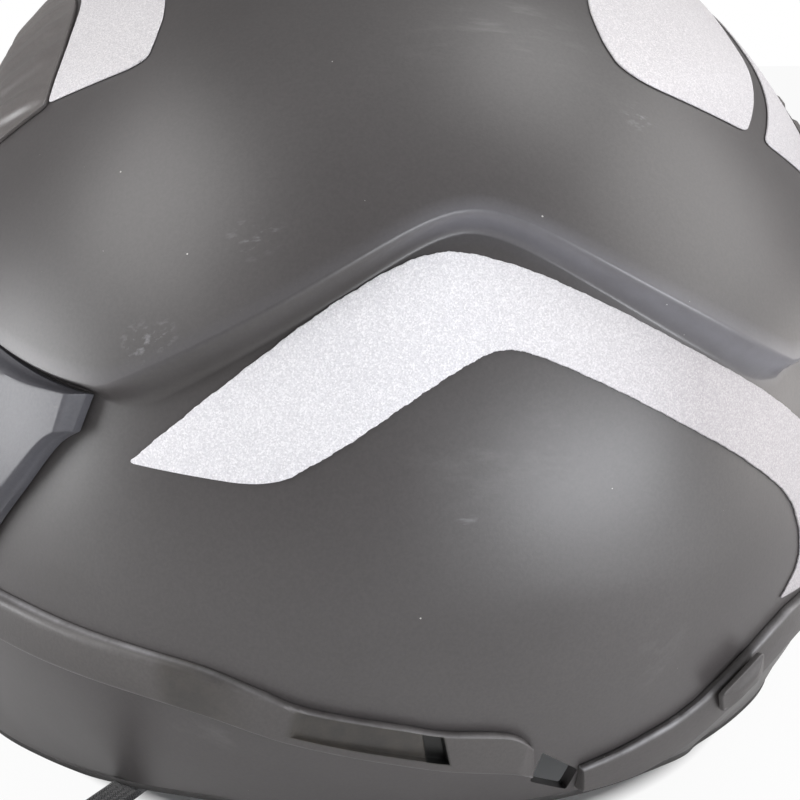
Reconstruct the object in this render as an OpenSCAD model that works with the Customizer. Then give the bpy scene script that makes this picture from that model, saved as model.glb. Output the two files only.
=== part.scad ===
// Full-shell rescue helmet with a retracting face shield, reflective
// trim and an adjustable head harness. Millimetres, +Z up, the face looks
// along -Y, and the wearer's left is +X. The rim rests on the plane z = 0.
//
// Places on the shell are written as [azimuth, level]: the azimuth is in
// degrees from the middle of the rear toward the wearer's left, and the level
// is the height above the widest part of the shell.

/* [Shell] */
// Width over the shell at its widest level
shell_w = 250; // [236:1:264]
// From the centre of the helmet to the rear of the shell
rear_len = 145; // [138:1:155]
// From the centre of the helmet to the brow
front_len = 152; // [144:1:162]
// Height of the dome above the widest level
dome_h = 146; // [138:1:154]
// Height of the widest level above the resting plane
widest_z = 68; // [62:1:74]
// Thickness of the shell wall
shell_wall = 3.6; // [3:0.1:4.5]
// Roundness of the shell in plan, where 2 is an ellipse
plan_power = 2.12; // [2:0.02:2.3]
// Roundness of the dome from the side, where 2 is an ellipse
dome_power = 2.05; // [2:0.01:2.2]
// Share by which the skirt draws in over 60 mm of height, at the sides
tuck = 0.08; // [0.04:0.01:0.12]
// The same behind, under the nape bands
rear_tuck = 0.18; // [0.12:0.01:0.2]
// Depth of the moulded step under the rear crown
step_depth = 5.5; // [3:0.1:7]
// Level of the highest point of the moulded step
step_top = 75.2; // [68:0.2:80]
// Level of the brow edge
brow_level = 48; // [42:1:54]
// Height of the rear rim above the resting plane
rear_arch = 13; // [9:0.5:16]

/* [Rim and nape trim] */
// Height of the rubber bead along the rim
bead_h = 1.6; // [1.2:0.1:3]
// Width of the rubber bead across the wall
bead_w = 3.4; // [3:0.1:5]
// How far the nape bands stand out from the shell
band_t = 3.6; // [2.8:0.1:5]
// Width of the window between the nape bands
notch_w = 10.6; // [8:0.2:12]
// Thickness of the reflective sheet
sheet_t = 0.6; // [0.4:0.1:1.2]
// Glue line under each applied piece
glue = 0.3; // [0.2:0.05:0.5]

/* [Side covers] */
// Azimuth at which the left cover ends behind
left_tail = 31.4; // [30:0.2:40]
// Azimuth at which the right cover ends behind
right_tail = 50; // [46:0.5:58]
// Thickness of the covers over the ears
cover_t = 3.3; // [2.6:0.1:4.5]
// Diameter of the caps over the shield pivots
cap_d = 34; // [28:1:40]
// How far the caps stand out from the covers
cap_t = 4; // [3:0.5:6]

/* [Face shield] */
// Distance of the pivot axis in front of the centre
pivot_y = 10; // [4:1:14]
// Level of the pivot axis
pivot_level = 5; // [0:1:10]
// Diameter of the pivot pins
pin_d = 12; // [9:0.5:14]
// Running clearance of the pins, on the radius
pin_fit = 0.06; // [0.02:0.01:0.1]
// Space between the shield and the front of the shell's brow
shield_room = 12.5; // [11.5:0.5:15]
// Space between the side of the shell and the shield's rounded profile
shield_side = 10.5; // [10:0.5:12]
// Thickness of the shield
shield_t = 2.5; // [2:0.1:3]
// Angle of the lower edge below the pivot axis
shield_low = 27; // [22:1:29]
// Angle of the upper edge above the pivot axis
shield_high = 27; // [24:1:32]

/* [Liner] */
// Thickness of the impact liner at the rear
liner_t = 21; // [18:1:26]
// Space behind the brow that the raised shield slides into
shield_gap = 14; // [13:0.5:16]
// Space between the liner and the shell at the rear
liner_gap = 2.6; // [2.2:0.1:3.2]
// Thickness of the side pads
side_pad_t = 14; // [10:1:18]

/* [Harness] */
// Place of the ring's centre behind the helmet's, as a share of the rear length
ring_share = 0.055; // [0.04:0.005:0.07]
// Level of the harness ring at its centre
harness_level = 8; // [4:1:12]
// Tilt of the harness ring, front up
harness_tilt = 14; // [10:1:18]
// Space between the harness ring and the shell at the sides
side_room = 39; // [37:1:44]
// Space between the harness ring and the shell at the forehead
front_room = 60; // [56:1:66]
// Thickness of the head band
ring_t = 2; // [1.6:0.1:2.6]
// Height of the head band
ring_h = 26; // [20:1:30]
// Thickness of the adjusting tails
tail_t = 1.5; // [1.2:0.1:2]
// Height of the adjusting tails
tail_h = 16; // [14:0.5:18]
// Diameter of the adjusting knob
knob_d = 36; // [30:1:40]
// Depth of the adjusting knob
knob_t = 10; // [8:1:13]
// Space between the crown straps and the top of the shell
crown_room = 46; // [44:1:54]
// Width of the crown straps
crown_strap_w = 20; // [16:1:26]

/* [Chin strap] */
// Width of the webbing
web_w = 15; // [12:1:18]
// Thickness of the webbing
web_t = 1.6; // [1.2:0.1:2.2]
// Length of the buckle housing
buckle_l = 32; // [28:1:38]
// Width of the buckle housing
buckle_w = 26; // [22:1:30]
// Thickness of the buckle housing
buckle_t = 9; // [8:0.5:11]
// Travel of the release button
button_travel = 1.5; // [1:0.1:2]

/* [Hidden] */

SHELL = [0.27, 0.27, 0.28];
TRIM = [0.20, 0.20, 0.21];
SILVER = [0.84, 0.83, 0.82];
BLACK = [0.08, 0.08, 0.09];
PAD = [0.16, 0.16, 0.18];

// Azimuths of the columns of points from the rear round to the brow
half_ring = concat([for (a = [0:4:104]) a], [for (a = [108:2:136]) a], [for (a = [142:9.5:180]) a]);
ring_az = concat([for (a = half_ring) a], [for (i = [len(half_ring) - 2:-1:1]) -half_ring[i]]);

// Outlines are drawn for this dome height and follow it
drawn_h = 146;
function drawn(k) = [for (p = k) [p.x, p.y > 0 ? p.y * dome_h / drawn_h : p.y]];

// Plain helpers
function smooth(t) = let (u = max(0, min(1, t))) u * u * (3 - 2 * u);
function unit(v) = v / norm(v);
function reversed(v) = [for (i = [len(v) - 1:-1:0]) v[i]];
function turn(a) = abs(a > 180 ? a - 360 : a < -180 ? a + 360 : a);
function mixed(p, q, t) = p * (1 - t) + q * t;

// A smooth curve through knots, for t from 0 to 1
function knot(k, i) = k[max(0, min(len(k) - 1, i))];
function along(k, t) =
    let (n = len(k) - 1, s = min(floor(t * n), n - 1), f = t * n - s)
    let (p = knot(k, s - 1), q = knot(k, s), r = knot(k, s + 1), w = knot(k, s + 2))
    q + 0.5 * f * ((r - p) + f * ((2 * p - 5 * q + 4 * r - w) + f * (3 * (q - r) + w - p)));

// The moulded step: a soft chevron at the rear that rises to the side covers
step_lean = -1.6;
step_soft = 6;
step_fall = 1.69;
step_flare = 0.01;
valley = 31;
step_side = 11;
function step_arch(u) = step_top - step_fall * (sqrt(u * u + step_soft * step_soft) - step_soft)
    + step_flare * u * u;
function step_z(a) = let (u = turn(a - step_lean))
    step_arch(min(u, valley)) + step_side * smooth((u - valley) / 28);
function step_run(a) = let (u = turn(a - step_lean)) mixed(5.5 + 0.1 * u, 3, smooth((u - 26) / 8));
function step_fade(a) = 1 - smooth((turn(a) - 60) / 35);
function drop(a, z) = step_depth * step_fade(a) * smooth((step_z(a) - z) / step_run(a));

// Radius of the shell at an azimuth and level
function plan_len(y) = y > 0 ? rear_len : front_len;
function plan_r(a) = pow(pow(abs(sin(a)) / (shell_w / 2), plan_power)
    + pow(abs(cos(a)) / plan_len(cos(a)), plan_power), -1 / plan_power);
function dome_f(z) = pow(1 - pow(min(max(z, 0) / dome_h, 1), dome_power), 1 / dome_power);
function tuck_f(a, z) = 1 - mixed(rear_tuck, tuck, smooth((turn(a) - 40) / 40)) * pow(max(4 - z, 0) / 60, 2);
function full_r(a, z) = plan_r(a) * dome_f(z) * tuck_f(a, z);

// A point on the shell's outer face, and the same moved out by off
function outward(p) = unit([p.x / pow(shell_w / 2, 2), p.y / pow(plan_len(p.y), 2),
    max(p.z, 0) / pow(dome_h, 2)]);
function lifted(r, a, z, off) = let (p = [r * sin(a), r * cos(a), z])
    p + off * outward(p) + [0, 0, widest_z];
function surf(a, z, off = 0) = lifted(full_r(a, z) - drop(a, z), a, z, off);

// Level of the rim: arched at the rear, flat at the sides, up to the brow
side_front = 112;
brow_side = 134;
function rim_z(a) = let (t = turn(a))
    -widest_z + rear_arch * (1 - smooth((t - 24) / 30))
    + (brow_level + widest_z) * smooth((t - side_front) / (brow_side - side_front));
function edge_z(a) = rim_z(a) + bead_h;

// A closed skin between two rings of points stacked upward to a pole
module skin(outer, inner, top_out, top_in) {
    m = len(outer);
    n = len(outer[0]);
    pts = concat([for (r = outer) each r], [for (r = inner) each r], [top_out, top_in]);
    o = function (j, i) j * n + i % n;
    k = function (j, i) (m + j) * n + i % n;
    polyhedron(pts, concat(
        [for (j = [0:m - 2], i = [0:n - 1]) each [
            [o(j, i), o(j, i + 1), o(j + 1, i + 1)], [o(j, i), o(j + 1, i + 1), o(j + 1, i)],
            [k(j, i), k(j + 1, i + 1), k(j, i + 1)], [k(j, i), k(j + 1, i), k(j + 1, i + 1)]]],
        [for (i = [0:n - 1]) each [
            [o(0, i + 1), o(0, i), k(0, i)], [o(0, i + 1), k(0, i), k(0, i + 1)],
            [o(m - 1, i), o(m - 1, i + 1), 2 * m * n], [k(m - 1, i + 1), k(m - 1, i), 2 * m * n + 1]]]));
}

// A closed plate between two grids of points, rows upward
module slab(outer, inner) {
    m = len(outer) - 1;
    n = len(outer[0]) - 1;
    pts = concat([for (r = outer) each r], [for (r = inner) each r]);
    o = function (j, i) j * (n + 1) + i;
    k = function (j, i) (m + 1 + j) * (n + 1) + i;
    polyhedron(pts, concat(
        [for (j = [0:m - 1], i = [0:n - 1]) each [
            [o(j, i), o(j, i + 1), o(j + 1, i + 1)], [o(j, i), o(j + 1, i + 1), o(j + 1, i)],
            [k(j, i), k(j + 1, i + 1), k(j, i + 1)], [k(j, i), k(j + 1, i), k(j + 1, i + 1)]]],
        [for (i = [0:n - 1]) each [
            [o(0, i + 1), o(0, i), k(0, i)], [o(0, i + 1), k(0, i), k(0, i + 1)],
            [o(m, i), o(m, i + 1), k(m, i + 1)], [o(m, i), k(m, i + 1), k(m, i)]]],
        [for (j = [0:m - 1]) each [
            [o(j, 0), o(j + 1, 0), k(j + 1, 0)], [o(j, 0), k(j + 1, 0), k(j, 0)],
            [o(j + 1, n), o(j, n), k(j, n)], [o(j + 1, n), k(j, n), k(j + 1, n)]]]));
}

// A closed tube of one section swept round a loop or along a line
module sweep(rings, looped) {
    m = len(rings);
    n = len(rings[0]);
    pts = [for (r = rings) each r];
    o = function (j, i) (j % m) * n + i % n;
    sides = [for (j = [0:looped ? m - 1 : m - 2], i = [0:n - 1]) each [
        [o(j, i), o(j, i + 1), o(j + 1, i + 1)], [o(j, i), o(j + 1, i + 1), o(j + 1, i)]]];
    ends = looped ? [] : [[for (i = [n - 1:-1:0]) i], [for (i = [0:n - 1]) (m - 1) * n + i]];
    polyhedron(pts, concat(sides, ends));
}

// A piece laid on the shell between a lower and an upper outline.
// under and over give its two faces as heights above the shell.
function stations(n, e) = concat([0, e], [for (i = [1:n - 1]) i / n], [1 - e, 1]);
function even(n) = [for (i = [0:n]) i / n];
function cells(low, up, us, vs, side, off) = [for (v = vs) [for (u = side > 0 ? us : reversed(us))
    let (q = mixed(along(low, u), along(up, u), v), a = side * q.x)
    surf(a, q.y, off(a, q.y, u, v))]];
module applied(low, up, us, vs, under, over, side = 1)
    slab(cells(drawn(low), drawn(up), us, vs, side, over), cells(drawn(low), drawn(up), us, vs, side, under));
function edge(u, v, eu, ev) = min(1, min(min(u, 1 - u) / eu, min(v, 1 - v) / ev));
flat_under = function (a, z, u, v) glue;

// Shell
function shell_levels(a) =
    let (e = edge_z(a), s = max(step_z(a), e + 16), c = s - step_run(a))
    concat([for (t = [0:0.25:1]) mixed(e, c, t)], [for (t = [0.3, 0.6, 1]) mixed(c, s, t)],
        [for (k = [0:8]) s + 2 + (dome_h - s - 2) * sin(k * 10)]);
function shell_rings(off) = [for (j = [0:len(shell_levels(0)) - 1])
    [for (a = ring_az) surf(a, shell_levels(a)[j], off)]];

// Slanted window in the skirt between the two nape bands, as levels at its left and right sides
notch_az = -10.9;
notch_top = [-36.5, -44.5];
notch_foot = [-46, -51.8];
module shell_notch() {
    rotate([0, 0, -notch_az])
    translate([0, rear_len, widest_z])
    rotate([90, 0, 0])
    linear_extrude(rear_len / 2)
        polygon([[notch_w / 2, notch_foot[0]], [notch_w / 2, notch_top[0]], [-notch_w / 2, notch_top[1]],
            [-notch_w / 2, notch_foot[1]]]);
}

module pivot_bore(r) {
    translate([-shell_w / 2 - 20, -pivot_y, widest_z + pivot_level])
    rotate([0, 90, 0])
        cylinder(r = r, h = shell_w + 40, $fn = 48);
}

module outer_shell() {
    color(SHELL)
    difference() {
        skin(shell_rings(0), shell_rings(-shell_wall),
            [0, 0, widest_z + dome_h], [0, 0, widest_z + dome_h - shell_wall]);
        shell_notch();
        pivot_bore(pin_d / 2 + pin_fit);
    }
}

// Rubber bead along the whole rim
seat_gap = 0.05;
function bead_ring(a) =
    let (e = surf(a, edge_z(a), -shell_wall / 2))
    let (t = unit(surf(a + 0.4, edge_z(a + 0.4)) - surf(a - 0.4, edge_z(a - 0.4))))
    let (n = outward(e - [0, 0, widest_z]), m = unit(cross(n, t)), h = bead_h - seat_gap, w = bead_w / 2)
    [for (q = [[w, 0], [w, 0.65 * h], [0.6 * w, h], [-0.6 * w, h], [-w, 0.65 * h], [-w, 0]])
        e + n * q.x + m * (q.y + seat_gap)];
module rim_seal() {
    color(BLACK)
        sweep([for (a = ring_az) bead_ring(a)], true);
}

// Nape bands: the left one has a ramped slot and an end that bends inward
left_band_low = [[-8.2, -43.8], [-5.6, -40.5], [0.4, -37.8], [4.8, -35.2], [13.8, -29.8], [17, -27.4],
    [21, -24.4], [26.6, -21.9], [33.6, -20.4], [42.4, -19.3], [49.6, -18.5]];
left_band_up = [[-7.2, -34], [-4.6, -29.2], [1.4, -27.2], [5, -25], [12.8, -21], [16.6, -17.2],
    [21.2, -13.2], [26.6, -11.2], [33.2, -9.6], [40.2, -8], [45.6, -7.4]];
slot_from = 0.2;
slot_to = 0.405;
slot_ramp = 0.25;
function in_slot(u, v) = u > slot_from && u < slot_to && v > 0.28 && v < 0.93;
function slot_depth(u) = (band_t - 1.2)
    * (u < slot_ramp ? 1 : 0.75 - 0.45 * (u - slot_ramp) / (slot_to - slot_ramp));
band_top = 0.55;
function band_out(u, v) = band_t * mixed(1, band_top, v * v);
module nape_band_left() {
    us = [0, 0.03, 0.07, 0.11, 0.16, 0.195, 0.205, 0.245, 0.255, 0.3, 0.35, 0.4, 0.41, 0.45, 0.5, 0.55,
        0.6, 0.65, 0.7, 0.75, 0.8, 0.85, 0.9, 0.95, 1];
    vs = [0, 0.1, 0.275, 0.285, 0.6, 0.925, 0.935, 1];
    over = function (a, z, u, v) min(mixed(1.4, band_t, smooth(u / 0.1)), band_out(u, v))
        - (in_slot(u, v) ? slot_depth(u) * band_out(u, v) / band_t : 0);
    color(TRIM)
        applied(left_band_low, left_band_up, us, vs, flat_under, over);
}

right_band_low = [[14.4, -51.4], [20.2, -51], [23.5, -48.6], [26.3, -45], [28.6, -40.5], [30.5, -35.5],
    [34, -28], [37, -24], [40, -22.5], [50, -20.5]];
right_band_up = [[13.2, -43], [17.2, -39.8], [20.2, -36.8], [22.6, -34.4], [24.8, -31.2], [26.6, -27.4],
    [30.4, -20.6], [33.4, -16.4], [37, -14], [50, -12]];
module nape_band_right() {
    over = function (a, z, u, v) band_out(u, v);
    color(TRIM)
        applied(right_band_low, right_band_up, even(22), [0, 0.1, 0.4, 0.7, 0.9, 1], flat_under, over, -1);
}

// Small keeper that laps the right band
module band_clip() {
    low = [[27.6, -35.5], [29.2, -31.5], [31.2, -27.5]];
    up = [[25.4, -28.5], [27.4, -24], [29.4, -20]];
    under = function (a, z, u, v) band_t + 0.15;
    over = function (a, z, u, v) band_t + 1.5 + 1.6 * smooth(edge(u, v, 0.4, 0.4));
    color(TRIM)
        applied(low, up, even(6), even(6), under, over, -1);
}

// Reflective sheet: the rear chevron and the crown panels
chevron_low = [[-33.5, -11.5], [-35.8, -3], [-33.5, 10.5], [-27, 22], [-20, 31.6], [-13, 40.6], [-7, 47.2],
    [-3.6, 48.9], [-0.4, 46.2], [4, 40.2], [9.6, 31.6], [15, 24.2]];
chevron_up = [[-44, -12.2], [-48, -3], [-46, 11], [-39, 22.2], [-31, 34], [-22, 45.4], [-13, 56.4],
    [-5, 64.2], [2, 66.3], [10, 58], [19, 42.8], [27.5, 26.5]];
module sheet(low, up, nu, nv, side = 1) {
    over = function (a, z, u, v) glue + sheet_t;
    color(SILVER)
        applied(low, up, even(nu), even(nv), flat_under, over, side);
}
module rear_chevron() sheet(chevron_low, chevron_up, 33, 6);

left_panel_low = [[46.4, 92.4], [50, 104.5], [56, 111], [66, 115], [80, 117], [96, 117], [108, 114]];
left_panel_up = [[33.2, 101], [34.6, 111], [40, 118], [54, 124], [74, 127], [96, 127], [112, 122]];
module crown_panel_left() sheet(left_panel_low, left_panel_up, 18, 6);

right_panel_low = [[36.8, 86], [43.8, 92.2], [50, 98.6], [54, 106], [61, 112.5], [74, 116.5], [94, 117.5],
    [108, 114]];
right_panel_up = [[21.2, 98.2], [20.5, 106], [22.5, 114], [30, 121], [46, 126.5], [70, 129], [95, 128.5],
    [112, 122.5]];
module crown_panel_right() sheet(right_panel_low, right_panel_up, 20, 7, -1);

side_panel_low = [[50, 73.4], [58, 79], [64, 86], [69, 93.5], [76, 99.5], [86, 103.5], [98, 105], [109, 102]];
side_panel_up = [[39.8, 83.6], [49, 91.8], [55.5, 98.6], [60, 104.8], [67, 110], [80, 113],
    [97, 113.6], [109, 110.6]];
module side_panel_right() sheet(side_panel_low, side_panel_up, 18, 4, -1);

// Dark plates with slanted ribs outside the crown panels
rib_count = 8;
rib_rise = 1.3;
plate_t = 1.2;
module ribbed(low, up, side) {
    over = function (a, z, u, v) let (f = u * rib_count + v * 0.7, g = abs(2 * (f - floor(f)) - 1))
        plate_t + rib_rise * smooth((g - 0.3) / 0.4) * smooth(edge(u, v, 0.04, 0.25));
    color(BLACK)
        applied(low, up, even(32), [0, 0.15, 0.5, 0.85, 1], flat_under, over, side);
}
module rib_plate_left() ribbed(
    [[57.5, 84.5], [62, 88], [68, 93.5], [75, 98.5], [85, 102.5], [97, 104], [109, 101]],
    [[48.6, 91], [52.4, 102.4], [58.5, 108.6], [67.4, 112.4], [80.5, 114.4], [96, 114.4], [107, 111.4]], 1);
module rib_plate_right() ribbed(
    [[58, 68.5], [66, 74], [73, 81], [80, 88], [89, 93], [100, 94.5], [110, 92]],
    [[52.4, 72], [60, 77.6], [66.4, 85.4], [72, 92.8], [80, 98.4], [94, 102.2], [109, 99.6]], -1);

// Blank plate over the brow
module badge_plate() {
    over = function (a, z, u, v) glue + 2.2 * smooth(edge(u, v, 0.12, 0.12) * 0.7 + 0.3);
    color(TRIM)
        applied([[167, 66], [173, 63.5], [180, 62.6], [187, 63.5], [193, 66]],
            [[169, 92], [173, 97], [180, 100], [187, 97], [191, 92]],
            stations(8, 0.04), stations(5, 0.04), flat_under, over);
}

// Side covers lie flush in the moulded step and stand out over the ears
cover_seam = 3.3;
cover_nose = 118;
cover_chin = 113.4;
// Lower edge of a cover: share of its length, and level
cover_drop = [[0.015, 31], [0.044, 27.5], [0.09, 17.8], [0.141, 7.8], [0.215, -7], [0.3, -22],
    [0.4, -34], [0.54, -41], [0.74, -42], [0.91, -38], [1, -26]];
function cover_low(tail) = [for (k = cover_drop) [mixed(tail, cover_chin, k.x), k.y]];
function cover_up(tail, side) = [for (t = [0, 0.03, 0.07, 0.12, 0.19, 0.27, 0.38, 0.52, 0.7, 0.86, 1])
    let (a = mixed(tail, cover_nose, t)) [a, (step_z(side * a) - cover_seam) * drawn_h / dome_h]];
function cover_out(a, z) = glue + 0.1 + drop(a, z) + cover_t * (1 - step_fade(a));
boss_in = 0.9;
boss_out = 4.4;
module side_cover(tail, side) {
    under = function (a, z, u, v) glue + 0.1;
    over = function (a, z, u, v) glue
        + (cover_out(a, z) - glue) * mixed(0.4, 1, smooth(edge(u, v, 0.05, 0.09)));
    color(TRIM)
    difference() {
        union() {
            applied(cover_low(tail), cover_up(tail, side), stations(22, 0.02), stations(8, 0.035),
                under, over, side);
            at_pivot(side, boss_in) cylinder(d = cap_d + 3, h = boss_out - boss_in, $fn = 64);
        }
        pivot_bore(pin_d / 2 + pin_fit);
    }
}
module side_cover_left() side_cover(left_tail, 1);
module side_cover_right() side_cover(right_tail, -1);

// Moves its children to a pivot, their +Z pointing out of the helmet, out mm past the shell
module at_pivot(side, out = 0) {
    translate([side * (shell_w / 2 + out), -pivot_y, widest_z + pivot_level])
    rotate([0, side * 90, 0])
        children();
}

// Pivot pins: a slotted cap outside, and a flange that keeps the shield on
hub_d = 34;
hub_t = 4;
hub_in = 14.5;
flange_t = 2.4;
side_play = 0.3;
module pivot_pin(side) {
    color(BLACK)
    at_pivot(side) {
        difference() {
            union() {
                translate([0, 0, boss_out + seat_gap]) cylinder(d = cap_d, h = cap_t * 0.6, $fn = 64);
                translate([0, 0, boss_out + seat_gap + cap_t * 0.6])
                    cylinder(d1 = cap_d, d2 = cap_d - 2.4, h = cap_t * 0.4, $fn = 64);
            }
            translate([-cap_d * 0.32, -1.6, boss_out + cap_t - 1.8]) cube([cap_d * 0.64, 3.2, 4]);
        }
        translate([0, 0, -hub_in - side_play])
            cylinder(d = pin_d, h = hub_in + side_play + boss_out + 1, $fn = 48);
        translate([0, 0, -hub_in - side_play - flange_t]) cylinder(d = pin_d + 6, h = flange_t, $fn = 48);
    }
}
module pivot_pin_left() pivot_pin(1);
module pivot_pin_right() pivot_pin(-1);

// Moves its children to the shell, their +Z along its outward normal
function facing(a, z) = unit(cross(surf(a, z + 1) - surf(a, z - 1), surf(a + 1, z) - surf(a - 1, z)));
module on_shell(a, z, off) {
    n = facing(a, z);
    translate(surf(a, z) + off * n)
    rotate([0, acos(n.z), atan2(n.y, n.x)])
        children();
}

// Socket-head screws that hold the covers
screw_at = [[62, 2], [84, -32], [106, -24], [104, 38]];
module cover_screws() {
    color([0.55, 0.55, 0.56])
    for (side = [-1, 1], q = screw_at)
        on_shell(side * q.x, q.y, cover_out(side * q.x, q.y) + 0.15)
            difference() {
                cylinder(d = 7, h = 1.8, $fn = 32);
                translate([0, 0, 0.7]) cylinder(d = 3.6, h = 2, $fn = 6);
            }
}

// Face shield: a shell of revolution about the pivot axis
arm_x = shell_w / 2 - hub_in + hub_t / 2;
shield_r = front_len - pivot_y - shield_room;
shield_half_w = shell_w / 2 - shield_side;
shield_power = 2.25;
function shield_mid(x) = shield_r * pow(1 - pow(abs(x) / shield_half_w, shield_power), 1 / shield_power);
shield_line = concat([[hub_d / 4, -arm_x]], [for (t = [-1:0.05:1])
    let (x = arm_x * sin(90 * t)) [shield_mid(x), x]], [[hub_d / 4, arm_x]]);
function line_side(k, i, off) = let (d = unit(knot(k, i + 1) - knot(k, i - 1))) k[i] + off * [d.y, -d.x];
function thick_line(k, t) = concat([for (i = [0:len(k) - 1]) line_side(k, i, t / 2)],
    [for (i = [len(k) - 1:-1:0]) line_side(k, i, -t / 2)]);

// Turns the plane of a revolved profile so that its axis lies along X and its start points forward
module about_pivot(start) {
    translate([0, -pivot_y, widest_z + pivot_level])
    rotate([90, 0, -90])
    rotate([0, 0, start])
        children();
}
module face_shield() {
    color([0.55, 0.58, 0.60, 0.45])
    difference() {
        union() {
            about_pivot(-shield_low)
                rotate_extrude(angle = shield_low + shield_high, $fn = 180)
                    polygon(thick_line(shield_line, shield_t));
            for (side = [-1, 1])
                at_pivot(side, -hub_in) cylinder(d = hub_d, h = hub_t, $fn = 64);
        }
        pivot_bore(pin_d / 2 + pin_fit);
    }
}

// Finger lip on the lower edge of the shield
lip_w = 60;
lip_t = 2.6;
lip_arc = 2.2;
module shield_grip() {
    out = shield_t / 2 + 0.3;
    line = [for (t = [-1:0.25:1]) let (x = lip_w / 2 * t) [shield_mid(x) + out + lip_t / 2, x]];
    color(BLACK)
    about_pivot(-shield_low)
        rotate_extrude(angle = lip_arc, $fn = 180)
            polygon(thick_line(line, lip_t));
}

// Impact liner inside the shell, set back behind the brow for the raised shield
front_thinner = 6;
function room(y) = smooth((30 - y) / 30);
function liner_out(y) = shell_wall + mixed(liner_gap, shield_gap, room(y));
function liner_in(y) = liner_out(y) + liner_t - front_thinner * room(y);
function liner_z(a) = let (t = turn(a)) -6 + 14 * (1 - smooth((t - 20) / 20))
    + (brow_level + 14) * smooth((t - 106) / 26);
function liner_levels(a) = let (e = liner_z(a), s = max(step_z(a), e + 12), c = s - step_run(a))
    concat([e, mixed(e, c, 0.5), c, s], [for (k = [1:6]) s + (dome_h - s) * sin(k * 13.2)]);
function liner_point(a, z, deep) = let (p = surf(a, z))
    deep ? surf(a, z, -liner_in(p.y)) : surf(a, z, -liner_out(p.y));
function liner_rings(deep) = [for (j = [0:len(liner_levels(0)) - 1])
    [for (a = [0:7.5:359]) liner_point(a, liner_levels(a)[j], deep)]];
module impact_liner() {
    color([0.24, 0.24, 0.25])
        skin(liner_rings(false), liner_rings(true),
            [0, 0, widest_z + dome_h - liner_out(0)], [0, 0, widest_z + dome_h - liner_in(0)]);
}

// Crowned pads: full in the middle, drawn in along their sides
pad_gap = 0.3;
function crowned(u, v) = (1 - pow(abs(2 * u - 1), 4)) * (1 - pow(abs(2 * v - 1), 4));
pad_us = [0, 0.04, 0.12, 0.25, 0.4, 0.6, 0.75, 0.88, 0.96, 1];
pad_vs = [0, 0.06, 0.2, 0.5, 0.8, 0.94, 1];
module side_pad(side) {
    back = function (a, z, u, v) -shell_wall - pad_gap - 1.2;
    front = function (a, z, u, v) -shell_wall - pad_gap - 2 - (side_pad_t - 2) * crowned(u, v);
    color(PAD)
        applied([[68, -48], [74, -52.5], [86, -54], [97, -52.5], [102, -48]],
            [[67, -20], [74, -16.5], [86, -16], [97, -17], [103, -21]],
            pad_us, pad_vs, front, back, side);
}
module side_pad_left() side_pad(1);
module side_pad_right() side_pad(-1);

// The harness is drawn level about its own centre and tilted in place
ring_r = shell_w / 2 - side_room;
harness_y = ring_share * rear_len;
ring_front = front_len + harness_y - front_room;
crown_h = dome_h - harness_level - crown_room;
module in_harness() {
    translate([0, harness_y, widest_z + harness_level])
    rotate([-harness_tilt, 0, 0])
        children();
}
function ring_pt(az, off) = let (front = cos(az) < 0)
    [(ring_r + off) * sin(az), ((front ? ring_front : ring_r) + off) * cos(az)];
function ring3(az, z, off) = let (p = ring_pt(az, off)) [p.x, p.y, z];
module ring_arc(from, to, r, t, h, z = 0) {
    rotate([0, 0, 90 - to])
    rotate_extrude(angle = to - from, $fn = 180)
        translate([r, z - h / 2]) square([t, h]);
}

band_end = 70;
module head_band() {
    az = [for (a = [band_end:5:360 - band_end]) a];
    color(TRIM)
    in_harness()
    translate([0, 0, -ring_h / 2])
        linear_extrude(ring_h)
            polygon(concat([for (a = az) ring_pt(a, ring_t)], [for (a = reversed(az)) ring_pt(a, 0)]));
}
module ring_pad(from, to, low, high, back, thick) {
    us = pad_us;
    outer = [for (v = pad_vs) [for (u = us) ring3(mixed(from, to, u), mixed(low, high, v), back)]];
    inner = [for (v = pad_vs) [for (u = us)
        ring3(mixed(from, to, u), mixed(low, high, v), back - 2 - (thick - 2) * crowned(u, v))]];
    color(PAD)
    in_harness()
        slab(outer, inner);
}
module brow_pad() ring_pad(128, 232, -12, 3.6, -pad_gap, 9);

// Adjusting tails: two toothed arcs, one outside the other
tail_gap = 0.4;
tail_in = [ring_r + ring_t + tail_gap, ring_r + ring_t + 2 * tail_gap + tail_t];
tail_from = -7;
tail_to = 80;
slot_half = 6;
tooth_h = 1.5;
tooth_az = 1.8;
pinion_r = slot_half - tooth_h - 0.15;
module rack_tail(side) {
    r = tail_in[side > 0 ? 0 : 1];
    color(BLACK)
    in_harness()
    mirror([side > 0 ? 0 : 1, 0, 0])
    union() {
        difference() {
            ring_arc(tail_from, tail_to, r, tail_t, tail_h);
            ring_arc(-3.5, 10.8, r - 1, tail_t + 2, 2 * slot_half);
        }
        for (a = [-2.2:tooth_az:10])
            rotate([0, 0, -a])
            translate([-0.7, r + 0.1, side * (slot_half - tooth_h / 2) - tooth_h / 2 + side * 0.2])
                cube([1.4, tail_t - 0.2, tooth_h]);
    }
}
module rack_tail_left() rack_tail(1);
module rack_tail_right() rack_tail(-1);

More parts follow.
